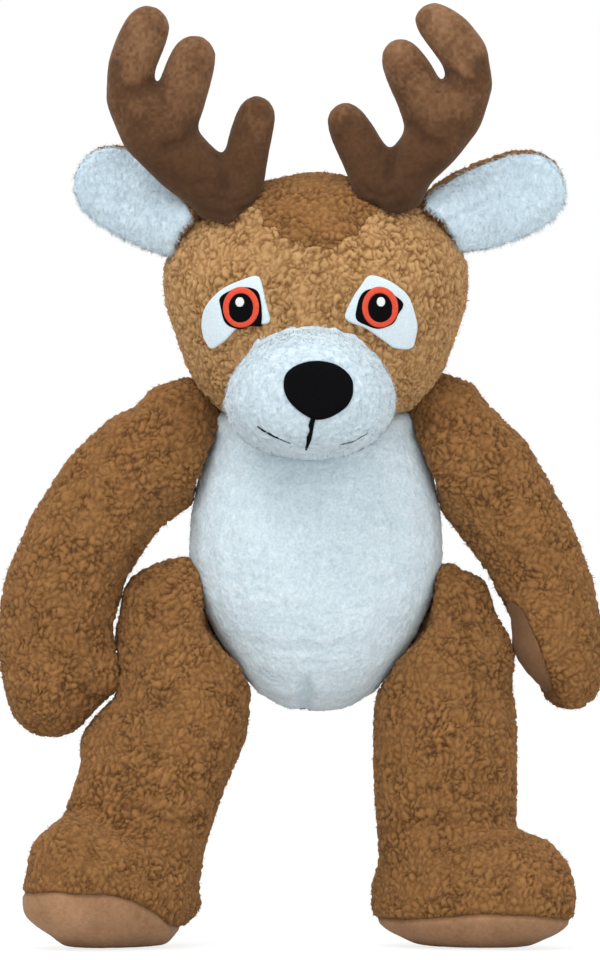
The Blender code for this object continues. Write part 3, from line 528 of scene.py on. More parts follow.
def inside_share(points, loop, soft):
    """1 well inside a loop seen from the front, 0 outside, and soft between."""
    x, z = points[:, 0], points[:, 2]
    inside = np.zeros(len(points), bool)
    nearest = np.full(len(points), 9.0)
    for a, b in zip(loop, np.roll(loop, -1, axis=0)):
        side = b - a
        span = np.clip(((x - a[0]) * side[0] + (z - a[1]) * side[1]) / (side @ side), 0, 1)
        nearest = np.minimum(nearest, np.hypot(x - a[0] - side[0] * span, z - a[1] - side[1] * span))
        if side[1]:
            crossing = ((a[1] > z) != (b[1] > z)) & (x < a[0] + side[0] * (z - a[1]) / side[1])
            inside ^= crossing
    return eased(np.where(inside, nearest, -nearest), -soft, soft)


def on_skin(tree, x, z):
    """The point and outward normal of a form's front at a place across and up."""
    place, normal, _, _ = tree.ray_cast(Vector((x, -0.4, z)), Vector((0, 1, 0)))
    if place is None:
        place, normal, _, _ = tree.find_nearest(Vector((x, -0.08, z)))
    return place, normal


def closed_plate(name, grid, lift, floor, tree, material, wraps):
    """A thin closed solid over a grid of places on a form, lifted by a height at each."""
    rows, columns = grid.shape[:2]
    top, under = [], []
    for i in range(rows):
        for j in range(columns):
            place, normal = on_skin(tree, *grid[i, j])
            top.append(place + normal * lift[i, j])
            under.append(place + normal * floor)
    count = rows * columns
    quads = []

    def face(i, j, k, m):
        return [i * columns + j, k * columns + j, k * columns + m, i * columns + m]

    last = columns if wraps else columns - 1
    for i in range(rows - 1):
        for j in range(last):
            own = face(i, j, i + 1, (j + 1) % columns)
            quads.append(own)
            quads.append([count + v for v in own[::-1]])
    for i in (0, rows - 1):
        for j in range(last):
            a, b = i * columns + j, i * columns + (j + 1) % columns
            side = [a, b, count + b, count + a]
            quads.append(side if i == 0 else side[::-1])
    if not wraps:
        for j in (0, columns - 1):
            for i in range(rows - 1):
                a, b = i * columns + j, (i + 1) * columns + j
                side = [a, b, count + b, count + a]
                quads.append(side[::-1] if j == 0 else side)
    obj = new_object(name, top + under, quads)
    set_field(obj, "pile", np.full(2 * count, PLATE_TONE))
    obj.data.shade_smooth()
    obj.data.materials.append(material)
    return obj


def plate_height(across, along, thick, edge):
    """How far a stitched plate stands out, with rounded edges."""
    near = np.minimum(across, along)
    return thick * np.sqrt(1 - (1 - np.clip(near / edge, 0, 1)) ** 2)


def satin_shape(name, loop, turn, thread, thick, sunk, tree, material, ridge=0.10 * MM, rows=16, edge=0.9 * MM):
    """A stitched or cut shape inside a loop, its threads running up after a turn."""
    c, s = math.cos(turn), math.sin(turn)
    flat = np.stack([loop[:, 0] * c + loop[:, 1] * s, loop[:, 1] * c - loop[:, 0] * s], axis=1)
    low, high = flat[:, 0].min(), flat[:, 0].max()
    count = max(12, int((high - low) / (thread / 4)))
    grid = np.zeros((rows, count, 2))
    lift = np.zeros((rows, count))
    for j, u in enumerate(np.linspace(low + 0.02 * MM, high - 0.02 * MM, count)):
        crossings = []
        for a, b in zip(flat, np.roll(flat, -1, axis=0)):
            if (a[0] > u) != (b[0] > u):
                crossings.append(a[1] + (b[1] - a[1]) * (u - a[0]) / (b[0] - a[0]))
        bottom, top = min(crossings), max(crossings)
        share = 0.5 - 0.5 * np.cos(np.linspace(0, math.pi, rows))
        v = bottom + (top - bottom) * share
        grid[:, j, 0] = u * c - v * s
        grid[:, j, 1] = u * s + v * c
        across = np.full(rows, min(u - low, high - u))
        along = np.minimum(v - bottom, top - v)
        wave = abs(math.cos(math.pi * u / thread))
        lift[:, j] = plate_height(across + 0.05 * MM, along, thick, edge) + ridge * wave
    return closed_plate(name, grid, lift, sunk, tree, material, False)


def satin_ring(name, center, outer, inner, thick, sunk, tree, material, thread=0.5 * MM):
    """A ring of radial stitches between two ovals about a middle."""
    rows = 9
    count = int(2 * math.pi * max(outer) / (thread / 4))
    grid = np.zeros((rows, count, 2))
    lift = np.zeros((rows, count))
    for j in range(count):
        angle = 2 * math.pi * j / count
        for i in range(rows):
            share = i / (rows - 1)
            radius = [a + (b - a) * share for a, b in zip(inner, outer)]
            grid[i, j] = center[0] + radius[0] * math.cos(angle), center[1] + radius[1] * math.sin(angle)
            across = (outer[0] - inner[0]) * min(share, 1 - share)
            wave = abs(math.cos(angle * count / 8))
            near = across + 0.08 * MM
            lift[i, j] = plate_height(near, near, thick, 1.1 * MM) + 0.09 * MM * wave
    return closed_plate(name, grid[:, ::-1], lift[:, ::-1], sunk, tree, material, True)


def thread_line(name, places, radii, out, tree, material):
    """A length of thread over a form."""
    centers = []
    for (x, z) in places:
        place, normal = on_skin(tree, x, z)
        centers.append(place + normal * out)
    sides = 8
    points, quads = [], []
    for i, (center, radius) in enumerate(zip(centers, radii)):
        along = (centers[min(i + 1, len(centers) - 1)] - centers[max(i - 1, 0)]).normalized()
        side = along.cross(Vector((0, 1, 0))).normalized()
        front = side.cross(along)
        for k in range(sides):
            angle = 2 * math.pi * k / sides
            points.append(center + side * (radius * math.cos(angle)) + front * (radius * math.sin(angle)))
    for i in range(len(centers) - 1):
        for k in range(sides):
            m = (k + 1) % sides
            quads.append([i * sides + k, i * sides + m, (i + 1) * sides + m, (i + 1) * sides + k])
    last = (len(centers) - 1) * sides
    quads.append(list(range(sides))[::-1])
    quads.append([last + k for k in range(sides)])
    obj = new_object(name, points, quads)
    obj.data.shade_smooth()
    obj.data.materials.append(material)
    return obj


def strands(name, piece, count, length, width, seed, material, droop=0.5, lean=0.9, keep=None):
    """Fine curved fibres that stand on a piece's pile and lean over."""
    points, normals = vectors_of(piece.data, "co"), vectors_of(piece.data, "normal")
    dice = np.random.default_rng(seed)
    pool = np.arange(len(points))
    if keep is not None:
        pool = pool[keep(points, normals)]
    picked = dice.choice(pool, count)
    root, up = points[picked], normals[picked]
    root = root + dice.normal(0, 0.3 * MM, root.shape)
    flow = noise(root, 8 * MM, seed + 3)
    flow = flow + np.array((0, 0, -droop)) + dice.normal(0, 0.45, root.shape)
    flow -= up * (flow * up).sum(axis=1, keepdims=True)
    flow /= np.linalg.norm(flow, axis=1, keepdims=True).clip(1e-9)
    side = np.cross(up, flow)
    size = length * (0.6 + 0.6 * dice.random(count))[:, None]
    rows = []
    for share in (0, 0.35, 0.7, 1.0):
        bend = lean * share
        spot_on = root + size * share * (up * math.cos(bend) * 0.75 + flow * math.sin(bend) * 1.1) - 0.3 * MM * up
        thin = width * (1 - share) ** 0.6 / 2
        rows.append((spot_on - side * thin, spot_on + side * thin))
    corners = [rows[0][0], rows[0][1], rows[1][0], rows[1][1], rows[2][0], rows[2][1], rows[3][0]]
    points = np.stack(corners, axis=1).reshape(-1, 3)
    faces = []
    for i in range(count):
        b = 7 * i
        faces += [(b + 1, b, b + 2, b + 3), (b + 3, b + 2, b + 4, b + 5), (b + 5, b + 4, b + 6)]
    obj = new_object(name, points, faces)
    # Painted shade: each fibre is darker at its root.
    set_field(obj, "pile", np.array(STRAND_PAINTED_SHADE) * (0.8 + 0.3 * dice.random(count))[:, None])
    obj.data.shade_smooth()
    obj.data.normals_split_custom_set_from_vertices(np.repeat(up, 7, axis=0).tolist())
    obj.data.materials.append(material)
    return obj


# Thread

def thread_material(name, color, scale, rough=0.45):
    material = bpy.data.materials.new(name)
    material.use_nodes = True
    tree = material.node_tree
    shader = tree.nodes["Principled BSDF"]
    shader.inputs["Roughness"].default_value = rough
    shader.inputs["Specular IOR Level"].default_value = 0.05
    place = tree.nodes.new("ShaderNodeTexCoord").outputs["Object"]
    fine = node_in(tree, "ShaderNodeTexNoise", Scale=scale, Detail=3.0)
    tree.links.new(place, fine.inputs["Vector"])
    dark = tuple(0.72 * v for v in color)
    light = tuple(min(1.0, 1.2 * v + 0.001) for v in color)
    tree.links.new(ramp_in(tree, fine.outputs["Fac"], [(0.3, dark), (0.7, light)]), shader.inputs["Base Color"])
    lift = node_in(tree, "ShaderNodeBump", Strength=0.4, Distance=0.15 * MM)
    tree.links.new(fine.outputs["Fac"], lift.inputs["Height"])
    tree.links.new(lift.outputs["Normal"], shader.inputs["Normal"])
    return material


BLACK_THREAD = thread_material("black_thread", shade(9, 9, 11), 2200.0, 0.85)
CORAL_THREAD = thread_material("coral_thread", shade(226, 86, 62), 2200.0)
WHITE_THREAD = thread_material("white_thread", shade(236, 240, 243), 2200.0)


# The eyes, nose and mouth, as read from the photograph

PATCH_PIXELS = {
    "right": [(259, 278), (264, 298), (270, 323), (252, 325), (238, 329), (226, 341), (213, 349), (207, 342),
              (203, 332), (205, 310), (220, 292), (240, 282)],
    "left": [(369, 277), (384, 280), (398, 288), (408, 298), (414, 315), (416, 330), (411, 348), (395, 349),
             (386, 344), (366, 330), (345, 320), (352, 300), (360, 288)],
}
OUTLINE_PIXELS = {
    "right": [(221, 299), (230, 292), (243, 288), (257, 291), (262, 303), (262, 326), (252, 327), (240, 330),
              (228, 325), (223, 312)],
    "left": [(402, 305), (393, 296), (378, 290), (364, 292), (357, 303), (355, 320), (366, 327), (378, 330),
             (391, 325), (396, 316)],
}
IRIS_PIXELS = {"right": (242.6, 308.4), "left": (378.4, 308.4)}
NOSE_PIXELS = [(284, 389), (287, 375), (300, 366), (318, 363), (336, 367), (349, 378), (352, 392), (347, 406),
               (336, 415), (324, 420), (313, 420), (300, 413), (289, 402)]
MOUTH_PIXELS = [(313, 419), (311, 426), (311, 432), (309, 438), (308, 443), (306, 449)]
SMILE_PIXELS = {"right": [(258, 427), (264, 431), (275, 437), (291, 444)], "left": [(340, 445), (352, 442), (366, 434)]}


def loop_of(pixels, steps=5):
    return smooth_loop([spot(*p) for p in pixels], steps)


def press_face(points):
    """Where the felt, the nose and the stitches press the pile down."""
    share = np.zeros(len(points))
    for side in SIDES:
        share = np.maximum(share, inside_share(points, loop_of(PATCH_PIXELS[side]), 1.0 * MM))
    share = np.maximum(share, inside_share(points, loop_of(NOSE_PIXELS), 1.0 * MM))
    share *= points[:, 1] < NECK.y
    return share, -0.5 * MM


def make_face(head):
    tree = head["tree"]
    made = []
    for side in SIDES:
        turn = math.radians({"left": -12, "right": 12}[side])
        patch = satin_shape(f"eye_patch_felt_{side}", loop_of(PATCH_PIXELS[side]), turn, 1.6 * MM, 0.9 * MM,
                            -1.5 * MM, tree, MATERIALS["white_felt"], ridge=0.03 * MM, rows=30)
        outline = satin_shape(f"eye_rim_thread_{side}", loop_of(OUTLINE_PIXELS[side], 4), turn, 0.5 * MM, 1.35 * MM,
                              -1.0 * MM, tree, BLACK_THREAD, rows=22, edge=0.7 * MM)
        center = spot(*IRIS_PIXELS[side])
        radii = [r * PIXEL for r in (18.5, 20.5)]
        inner = [r * PIXEL for r in (11.0, 13.0)]
        iris = satin_ring(f"eye_iris_thread_{side}", center, radii, inner, 1.75 * MM, -1.0 * MM, tree, CORAL_THREAD)
        middle = spot(IRIS_PIXELS[side][0], IRIS_PIXELS[side][1] + 2)
        angles = np.linspace(0, 2 * math.pi, 48, endpoint=False)
        oval = np.stack([middle[0] + 12 * PIXEL * np.cos(angles), middle[1] + 14 * PIXEL * np.sin(angles)], 1)
        pupil = satin_shape(f"eye_pupil_thread_{side}", oval, 0, 0.5 * MM, 1.75 * MM, -1.0 * MM, tree, BLACK_THREAD,
                            rows=20, edge=0.8 * MM)
        glint = spot({"left": 379, "right": 242}[side], 303)
        spark = np.stack([glint[0] + 4.6 * PIXEL * np.cos(angles), glint[1] + 4.8 * PIXEL * np.sin(angles)], 1)
        highlight = satin_shape(f"eye_glint_thread_{side}", spark, math.pi / 2, 0.45 * MM, 2.15 * MM, 0, tree,
                                WHITE_THREAD, rows=12, edge=0.5 * MM)
        for piece, node, slot in ((patch, "eye_patch", "white_felt"), (outline, "eye_outline", "black_thread"),
                                  (iris, "eye_iris", "coral_thread"), (pupil, "eye_pupil", "black_thread"),
                                  (highlight, "eye_highlight", "white_felt")):
            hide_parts(f"{node}_{side}")
            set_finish(piece, slot)
            made.append(piece)
    nose = satin_shape("nose_thread", loop_of(NOSE_PIXELS), 0, 0.55 * MM, 1.7 * MM, -1.2 * MM, tree, BLACK_THREAD,
                       rows=30, edge=2.2 * MM)
    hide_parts("nose")
    stitches = [1.0, 1.25, 0.75, 1.2, 0.75, 0.5]
    mouth = thread_line("mouth_thread", [spot(*p) for p in MOUTH_PIXELS], [s * MM for s in stitches], 0.5 * MM, tree,
                        BLACK_THREAD)
    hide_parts("mouth_stitch")
    made += [nose, mouth]
    for side, pixels in SMILE_PIXELS.items():
        radii = [0.2 * MM] + [{"right": 0.5, "left": 0.25}[side] * MM] * (len(pixels) - 2) + [0.15 * MM]
        made.append(thread_line(f"smile_thread_{side}", [spot(*p) for p in pixels], radii, 0.15 * MM, tree,
                                BLACK_THREAD))
    for piece in made:
        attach(piece, "head")
        if "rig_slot" not in piece:
            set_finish(piece, "black_thread")


# Shapes and creases of the parts: places in the photograph's pixels, lengths in millimetres

ARM_PUSHES = {
    "left": [((458, 390), 25, (0, 0, 10)), ((436, 392), 15, (-4, 1, 5)),
             ((426, 410), 15, (-5, 2, 3)), ((498, 388), 12, (-2.5, 0, -2.5)),
             ((526, 655), 18, (-3, 0, 0))],
    "right": [((160, 398), 22, (0, 0, 3.0)), ((192, 394), 17, (2, 1, 7.5)),
              ((206, 410), 15, (4, 2, 3)), ((126, 392), 12, (2, 0, -2)),
              ((118, 676), 24, (8, -5, 0)), ((120, 696), 18, (4, -3, -1))],
}
LEG_PUSHES = {
    "left": [((450, 590), 20, (-4, 0, 1)), ((486, 590), 16, (3, 0, 2)),
             ((506, 642), 22, (5, 2, 0))],
    "right": [((184, 590), 22, (6, 0, 1)), ((142, 580), 18, (-4, 0, 2)),
              ((130, 612), 22, (-6, 3, 0)), ((118, 650), 18, (-3, 3, 0)),
              ((88, 726), 22, (-5, 3, 0)), ((36, 930), 12, (1.5, 0, 2.5)),
              ((70, 840), 21, (-1, 0, 8)), ((198, 932), 14, (-4, 0, 4.5)),
              ((212, 894), 16, (-5, 0, 0)), ((34, 850), 13, (-1.8, 0, 2.5))],
}
TORSO_PUSHES = [((224, 412), 15, (-5, 0, 3)), ((406, 404), 15, (5, 0, 3))]
ANTLER_PUSHES = {
    "left": [((408, 52), 10, (-2.4, 0, -1.2)), ((426, 32), 11, (2.2, 0, 1.4)),
             ((470, 136), 12, (2, 0, -1.2)), ((384, 204), 15, (0, -9, -6)),
             ((404, 200), 10, (4, -2, -4)), ((361, 194), 10, (-4, -2, -4))],
    "right": [((132, 142), 12, (-2.4, 0, -1.4)), ((165, 176), 12, (-2.2, 0, -1.8)),
              ((234, 212), 15, (0, -9, -7)),
              ((212, 208), 10, (-4, -2, -4)), ((258, 200), 10, (4, -2, -4))],
}
ANTLER_CREASES = {
    "right": [([(153, 85), (138, 93), (122, 94), (114, 80), (114, 68)], 7, 2.0),
              ([(199, 126), (186, 142), (166, 149)], 6, 1.6), ([(218, 157), (222, 170), (226, 186)], 5, 1.4),
              ([(205, 210), (225, 216), (245, 210)], 4, 0.8), ([(214, 198), (232, 203), (250, 197)], 3, 0.6),
              ([(150, 22), (166, 36)], 5, 0.5), ([(176, 178), (190, 186), (206, 182)], 4, 0.5)],
    "left": [([(449, 76), (462, 86), (476, 88), (484, 76), (484, 64)], 7, 2.0),
             ([(411, 126), (424, 140), (440, 146)], 6, 1.6), ([(394, 149), (391, 164), (388, 178)], 5, 1.4),
             ([(372, 205), (388, 212), (404, 206)], 4, 0.8), ([(368, 192), (384, 198), (398, 192)], 3, 0.6),
             ([(352, 112), (346, 128), (340, 140)], 5, 0.7), ([(430, 170), (418, 180), (404, 178)], 4, 0.5)],
}
LEG_CREASES = {
    "left": [([(465, 611), (475, 687), (480, 764)], 3, 0.9), ([(376, 836), (400, 826), (440, 822)], 6, 0.9),
             ([(440, 852), (480, 846), (530, 838)], 6, 0.7)],
    "right": [([(132, 806), (150, 816), (172, 824), (192, 822)], 5, 1.3), ([(60, 812), (90, 806), (120, 806)], 6, 0.7)],
}
EAR_CREASES = {
    "left": [([(425, 230), (455, 217), (488, 199)], 3, 1.2)],
    "right": [([(180, 226), (150, 212), (112, 196)], 4, 0.7)],
}
ARM_CREASES = {
    "left": [([(470, 560), (486, 590), (500, 612)], 4, 0.8), ([(528, 540), (540, 556), (556, 566)], 5, 0.6)],
    "right": [([(150, 530), (128, 560), (116, 590)], 4, 0.7), ([(60, 690), (84, 700), (104, 698)], 5, 0.6)],
}
TORSO_CREASES = [([(318, 470), (316, 560), (310, 640), (305, 716)], 3, 0.5), ([(305, 690), (305, 722)], 7, 3.4),
                 ([(228, 470), (300, 480), (400, 470)], 5, 0.3), ([(214, 560), (300, 572), (420, 556)], 6, 0.3),
                 ([(230, 640), (300, 650), (390, 636)], 6, 0.3)]
FLANK_PIXELS = [(420, 460), (470, 460), (470, 560), (420, 560)]
CROWN_PIXELS = [(256, 208), (266, 222), (286, 239), (304, 248), (320, 252), (336, 247), (352, 236), (366, 222),
                (378, 206), (352, 190), (318, 184), (284, 190)]
EAR_PIXELS = {
    "right": [(56, 124), (84, 136), (106, 139), (135, 152), (165, 181), (190, 211), (197, 230), (192, 266), (150, 268),
              (108, 250), (66, 218), (46, 172)],
    "left": [(446, 172), (462, 156), (488, 148), (522, 138), (560, 142), (584, 185), (566, 238), (522, 260),
             (480, 262), (440, 254), (420, 240), (414, 224), (430, 192)],
}
EAR_PUSHES = {
    "right": [((200, 228), 50, (1, -40, 0))],
    "left": [((420, 226), 50, (-1, -42, 0))],
}


def ragged(points, size, reach, seed):
    """Places shifted a little at random, so that tufts cross a border."""
    return points + reach * noise(points, size, seed)


def ear_border(side, points, far):
    """Leaves a brown rim above and at the base of the lining, as it is seen."""
    share = inside_share(ragged(points, 3.0 * MM, 1.5 * MM, 78), loop_of(EAR_PIXELS[side]), 0.6 * MM)
    far[:, 1] += 6 * MM * (1 - share)
    return far


def head_borders(points, far):
    """Rounds the crown patch as it is seen, and lets tufts cross the borders."""
    crown = inside_share(ragged(points, 3.6 * MM, 3.5 * MM, 76), loop_of(CROWN_PIXELS), 0.6 * MM)
    crown *= points[:, 1] < NECK.y + 10 * MM
    far[:, 0] += 4 * MM * crown
    far[:, 1] *= 1 - crown
    return far + 1.8 * MM * noise(points, 3.2 * MM, 77)


def shape_of(pushes, more=None):
    """Moves the places round some pixels; each push has a reach and a shift in millimetres."""
    def shape(points):
        for pixel, reach, shift in pushes:
            points = pushed(points, spot(*pixel), reach * MM, np.array(shift) * MM)
        return more(points) if more else points
    return shape


def creased(lines, painted_shading=None):
    """Folds along lines of pixels on the front, each with a width in pixels and a depth in millimetres, with painted
    shade in each fold.
    """
    def extra(points, normals):
        rise = np.zeros(len(points))
        front = eased(-normals[:, 1], -0.2, 0.3)
        for pixels, wide, depth in lines:
            nearest = np.full(len(points), 9.0)
            path = np.array([spot(*p) for p in pixels])
            for a, b in zip(path[:-1], path[1:]):
                side = b - a
                span = np.clip(((points[:, [0, 2]] - a) @ side) / (side @ side), 0, 1)
                nearest = np.minimum(nearest, np.linalg.norm(points[:, [0, 2]] - a - side * span[:, None], axis=1))
            rise -= front * depth * MM * np.exp(-((nearest / (wide * PIXEL)) ** 2))
        # Painted shading given for the part, times painted shade that deepens with each fold.
        own = painted_shading(points) if painted_shading else 1
        return rise, own * (1 - np.clip(-rise / MM, 0, 1) * 0.35)
    return extra


def antler_painted_shading(points):
    """Painted shading: the brown pile is darker towards the head, where shade falls, and lighter at the tips, where the
    light from above falls.
    """
    height = (points[:, 2] - NECK.z) / (190 * MM)
    return 0.26 + 1.15 * eased(height, 0.4, 1.05)


def rounded_foot(side):
    """Draws the sole's lower edge in all round, as the padded sole is."""
    low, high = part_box(f"sole_pad_{side}")
    middle = (np.array(low) + np.array(high))[:2] / 2

    def more(points):
        inset = 0.13 * (1 - eased(points[:, 2], 0, 14 * MM))
        points = points.copy()
        points[:, :2] -= (points[:, :2] - middle) * inset[:, None]
        return points
    return more


SOLE_COLUMNS = {"left": [372, 399, 432, 483, 534, 562, 585], "right": [25, 57, 80, 111, 134, 157, 170, 200]}
SOLE_HEIGHTS = {"left": [12, 12, 13.5, 16, 15, 13, 11], "right": [25, 26.5, 25, 25, 22, 16, 10, 4]}


def sole_line(side):
    """Lets the sole's seam rise and fall as the photograph shows it."""
    places = [spot(column, 0)[0] for column in SOLE_COLUMNS[side]]

    def line(points, far):
        level = np.interp(points[:, 0], places, SOLE_HEIGHTS[side]) * MM
        off = points[:, 2] - level
        near = np.abs(points[:, 2] - 15 * MM) < 40 * MM
        far[near, 0] = np.clip(-off[near], 0, None)
        far[near, 1] = np.clip(off[near], 0, None)
        return far
    return line


PALM_PIXELS = [(470, 592), (505, 600), (519, 604), (530, 622), (542, 648), (553, 680), (564, 722), (510, 736),
               (470, 700)]


def seen_palm(side, points, far):
    """Keeps the palm's edge where the front view shows it: a crescent on the left and nothing on the right."""
    front = eased(-(points[:, 1] - NECK.y - 2 * MM), 0, 4 * MM)
    share = inside_share(points, loop_of(PALM_PIXELS), 1.0 * MM) if side == "left" else 0
    far[:, 1] += 30 * MM * front * (1 - share)
    return far


def arm_painted_shade(side):
    """Painted shade: the pile is darker under the jaw, where the head's shadow falls, and at the palm beside the leg,
    which lies in shade.
    """
    x, z = spot(*{"left": (424, 408), "right": (198, 418)}[side])

    def painted_shading(points):
        off = np.hypot(points[:, 0] - x, points[:, 2] - z) / (26 * MM)
        share = 0.4 * np.clip(1 - off**2, 0, 1)
        if side == "left":
            share = np.maximum(share, 0.75 * inside_share(points, loop_of(PALM_PIXELS), 2.0 * MM))
        return 1 - share
    return painted_shading


def fuzzed(made, node, name, slot, body, count, seed, length=2.2 * MM, width=0.24 * MM, droop=0.4):
    hair = strands(name, made[node], count, length, width, seed, made[node].data.materials[0], droop=droop, lean=1.15)
    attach(hair, body)
    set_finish(hair, slot)


# The toy

def make_torso():
    torso = form_of(["belly_panel", "torso_back_panel", "torso_stuffing"], 3 * MM, shape=shape_of(TORSO_PUSHES))
    torso["far"][:, 0] += 2.0 * MM + 3.0 * MM * inside_share(torso["points"], loop_of(FLANK_PIXELS), 5 * MM)
    torso["far"][:, 0] += 14 * MM * eased(torso["points"][:, 1] - NECK.y, 0, 8 * MM)
    made = panels(torso, {
        "belly_panel": ("belly_fleece", "white_sherpa", "plush", {}),
        "torso_back_panel": ("torso_back_sherpa", "brown_sherpa", "sherpa", {}),
    }, "torso", 11, extra=creased(TORSO_CREASES))
    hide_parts("torso_stuffing")
    fuzzed(made, "torso_back_panel", "torso_fuzz", "brown_sherpa", "torso", 6000, 101)
    fuzzed(made, "belly_panel", "belly_fuzz", "white_sherpa", "torso", 7000, 102, 2.0 * MM)
    neck = form_of(["neck_gusset"], 2.5 * MM, 1)
    panels(neck, {"neck_gusset": ("neck_sherpa", "brown_sherpa", "sherpa", {"height": 0.8 * MM})}, "neck", 12)
    tail = form_of(["tail"], 2.5 * MM, 2)
    made = panels(tail, {"tail": ("tail_sherpa", "brown_sherpa", "sherpa", {})}, "tail", 61)
    fuzzed(made, "tail", "tail_fuzz", "brown_sherpa", "tail", 1200, 103)


def make_head():
    head = form_of(["head_face_panel", "head_back_panel", "muzzle_panel", "head_stuffing"], 3 * MM,
                   shape=shape_of([((318, 184), 24, (0, 0, 2.5))]))
    head["far"] = head_borders(head["points"], head["far"])
    made = panels(head, {
        "head_face_panel": ("face_sherpa", "tan_sherpa", "sherpa", {}),
        "head_back_panel": ("head_back_sherpa", "brown_sherpa", "sherpa", {}),
        "muzzle_panel": ("muzzle_fleece", "white_sherpa", "fleece", {"height": 0.6 * MM}),
    }, "head", 13, seam=1.2 * MM, groove=0.2 * MM, press=press_face, dark=0.12)
    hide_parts("head_stuffing")
    make_face(head)
    fuzzed(made, "head_face_panel", "face_fuzz", "tan_sherpa", "head", 9000, 104)
    fuzzed(made, "head_back_panel", "head_back_fuzz", "brown_sherpa", "head", 8000, 105)
    fuzzed(made, "muzzle_panel", "muzzle_fuzz", "white_sherpa", "head", 6000, 106, 3.0 * MM, 0.3 * MM)


def make_ear(side, number):
    ear = form_of([f"ear_back_{side}", f"ear_lining_{side}"], 2 * MM, 1, rounds=8, shape=shape_of(EAR_PUSHES[side]))
    body = f"ear_{side}"
    ear["far"] = ear_border(side, ear["points"], ear["far"])
    made = panels(ear, {
        f"ear_back_{side}": (f"ear_back_sherpa_{side}", "brown_sherpa", "sherpa", {"height": 1.2 * MM}),
        f"ear_lining_{side}": (f"ear_lining_fleece_{side}", "white_sherpa", "fleece", {"height": 0.8 * MM}),
    }, body, 21 + number, seam=1.5 * MM, groove=0.8 * MM, extra=creased(EAR_CREASES[side]), dark=0.4)
    lining = made[f"ear_lining_{side}"].data
    # Painted light: the lining takes the brighter copy of the white pile.
    lining.materials[0] = MATERIALS["ear_white_lit"]
    fuzzed(made, f"ear_lining_{side}", f"ear_lining_fuzz_{side}", "white_sherpa", body, 4500, 107 + number, 3.2 * MM,
           0.3 * MM, 0.8)
    fuzzed(made, f"ear_back_{side}", f"ear_back_fuzz_{side}", "brown_sherpa", body, 1800, 109 + number)


def make_antler(side, number):
    antler = form_of([f"antler_cover_{side}", f"antler_stuffing_{side}"], 1.1 * MM, 1, rounds=10,
                     early=shape_of(ANTLER_PUSHES[side]), after=60)
    made = panels(antler, {
        f"antler_cover_{side}": (f"antler_minky_{side}", "antler_minky", "minky", {}),
    }, f"antler_{side}", 31 + number, extra=creased(ANTLER_CREASES[side], antler_painted_shading))
    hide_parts(f"antler_stuffing_{side}")


def make_arm(side, number):
    cover, pad, filling = f"arm_cover_{side}", f"palm_pad_{side}", f"arm_stuffing_{side}"
    arm = form_of([cover, pad, filling], 3 * MM, shape=shape_of(ARM_PUSHES[side]))
    arm["far"] = seen_palm(side, arm["points"], arm["far"])
    made = panels(arm, {
        cover: (f"arm_sherpa_{side}", "brown_sherpa", "sherpa", {}),
        pad: (f"palm_minky_{side}", "tan_minky", "minky", {}),
    }, f"arm_{side}", 41 + number, extra=creased(ARM_CREASES[side], arm_painted_shade(side)))
    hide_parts(filling)
    fuzzed(made, cover, f"arm_fuzz_{side}", "brown_sherpa", f"arm_{side}", 9000, 111 + number)


def make_leg(side, number):
    cover, pad, filling = f"leg_cover_{side}", f"sole_pad_{side}", f"leg_stuffing_{side}"
    leg = form_of([cover, pad, filling], 3 * MM, shape=shape_of(LEG_PUSHES[side], rounded_foot(side)))
    leg["far"] = sole_line(side)(leg["points"], leg["far"])
    made = panels(leg, {
        cover: (f"leg_sherpa_{side}", "brown_sherpa", "sherpa", {}),
        pad: (f"sole_minky_{side}", "tan_minky", "minky", {}),
    }, f"leg_{side}", 51 + number, seam=2.2 * MM, groove=0.9 * MM, extra=creased(LEG_CREASES[side]))
    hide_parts(filling)
    fuzzed(made, cover, f"leg_fuzz_{side}", "brown_sherpa", f"leg_{side}", 13000, 113 + number)


def make_toy():
    make_torso()
    make_head()
    for number, side in enumerate(SIDES):
        make_ear(side, number)
        make_antler(side, number)
        make_arm(side, number)
        make_leg(side, number)


# Camera, floor and light

CAMERA_DISTANCE = 4.0
SENSOR = 36
LIGHTS = (("key", (-0.5, -1.1, 1.9), 20, 1.4), ("fill", (0.7, -2.0, 0.7), 10, 1.6))


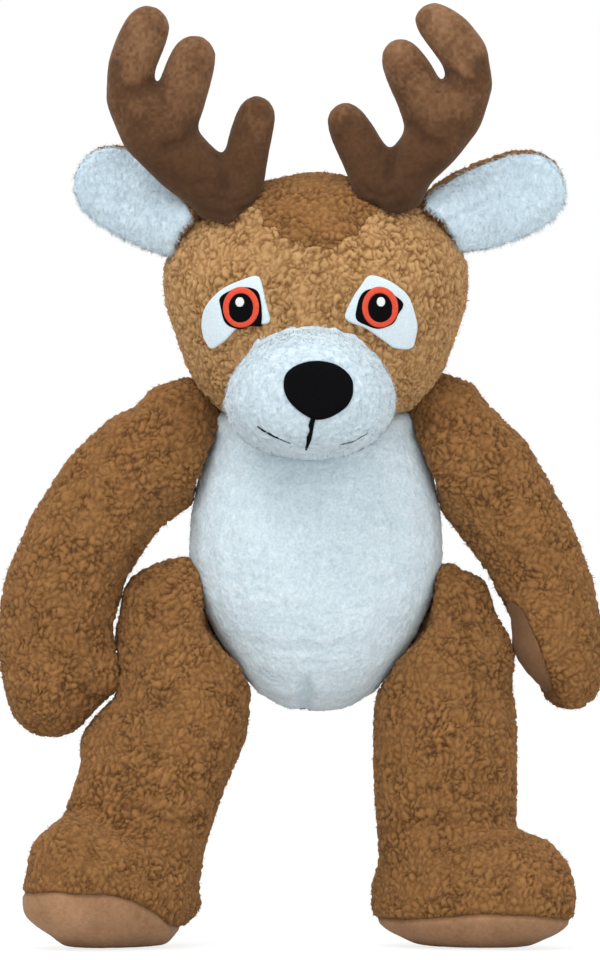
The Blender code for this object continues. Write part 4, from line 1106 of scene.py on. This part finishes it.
def make_studio():
    x, z = spot(*(size / 2 for size in FRAME_SIZE))
    camera = bpy.data.objects.new("camera", bpy.data.cameras.new("camera"))
    camera.data.sensor_width = SENSOR
    camera.data.lens = SENSOR * CAMERA_DISTANCE / (FRAME_SIZE[1] * PIXEL)
    camera.location = (x, NECK.y - 0.03 - CAMERA_DISTANCE, z)
    camera.rotation_euler = (math.pi / 2, 0, 0)
    camera.data.clip_start, camera.data.clip_end = 0.1, 100
    bpy.context.scene.collection.objects.link(camera)
    bpy.context.scene.camera = camera

    world = bpy.data.worlds.new("studio")
    bpy.context.scene.world = world
    world.use_nodes = True
    tree = world.node_tree
    backdrop = tree.nodes["Background"]
    rays = tree.nodes.new("ShaderNodeLightPath")
    seen = node_in(tree, "ShaderNodeMath", operation="MAXIMUM")
    seen_through = node_in(tree, "ShaderNodeMath", operation="MAXIMUM")
    strength = node_in(tree, "ShaderNodeMapRange", **{"To Min": 0.80, "To Max": 1.0})
    tree.links.new(rays.outputs["Is Camera Ray"], seen.inputs[0])
    tree.links.new(rays.outputs["Is Glossy Ray"], seen.inputs[1])
    tree.links.new(seen.outputs[0], seen_through.inputs[0])
    tree.links.new(rays.outputs["Is Transmission Ray"], seen_through.inputs[1])
    tree.links.new(seen_through.outputs[0], strength.inputs["Value"])
    tree.links.new(strength.outputs["Result"], backdrop.inputs["Strength"])
    backdrop.inputs["Color"].default_value = (1, 1, 1, 1)

    floor = new_object("floor", [(-6, -6, 0), (6, -6, 0), (6, 6, 0), (-6, 6, 0)], [(0, 1, 2, 3)])
    floor.location.z = -0.0005
    material = bpy.data.materials.new("floor")
    material.use_nodes = True
    tree = material.node_tree
    shader = tree.nodes["Principled BSDF"]
    shader.inputs["Roughness"].default_value = 0.9
    rays = tree.nodes.new("ShaderNodeLightPath")
    base = tree.nodes.new("ShaderNodeMix")
    base.data_type = "RGBA"
    base.inputs["A"].default_value = (0.75, 0.75, 0.75, 1)
    base.inputs["B"].default_value = (0.22, 0.22, 0.22, 1)
    glow = node_in(tree, "ShaderNodeMath", operation="MULTIPLY")
    glow.inputs[1].default_value = 0.80
    tree.links.new(rays.outputs["Is Camera Ray"], base.inputs["Factor"])
    tree.links.new(base.outputs["Result"], shader.inputs["Base Color"])
    tree.links.new(rays.outputs["Is Camera Ray"], glow.inputs[0])
    shader.inputs["Emission Color"].default_value = (1, 1, 1, 1)
    tree.links.new(glow.outputs[0], shader.inputs["Emission Strength"])
    floor.data.materials.append(material)

    for name, place, power, size in LIGHTS:
        lamp = bpy.data.objects.new(name, bpy.data.lights.new(name, "AREA"))
        lamp.data.energy = power
        lamp.data.size = size
        lamp.location = place
        aim = Vector((0, 0, 0.22)) - lamp.location
        lamp.rotation_euler = aim.to_track_quat("-Z", "Y").to_euler()
        bpy.context.scene.collection.objects.link(lamp)
    bpy.context.scene.view_settings.view_transform = "Standard"


make_toy()
make_studio()
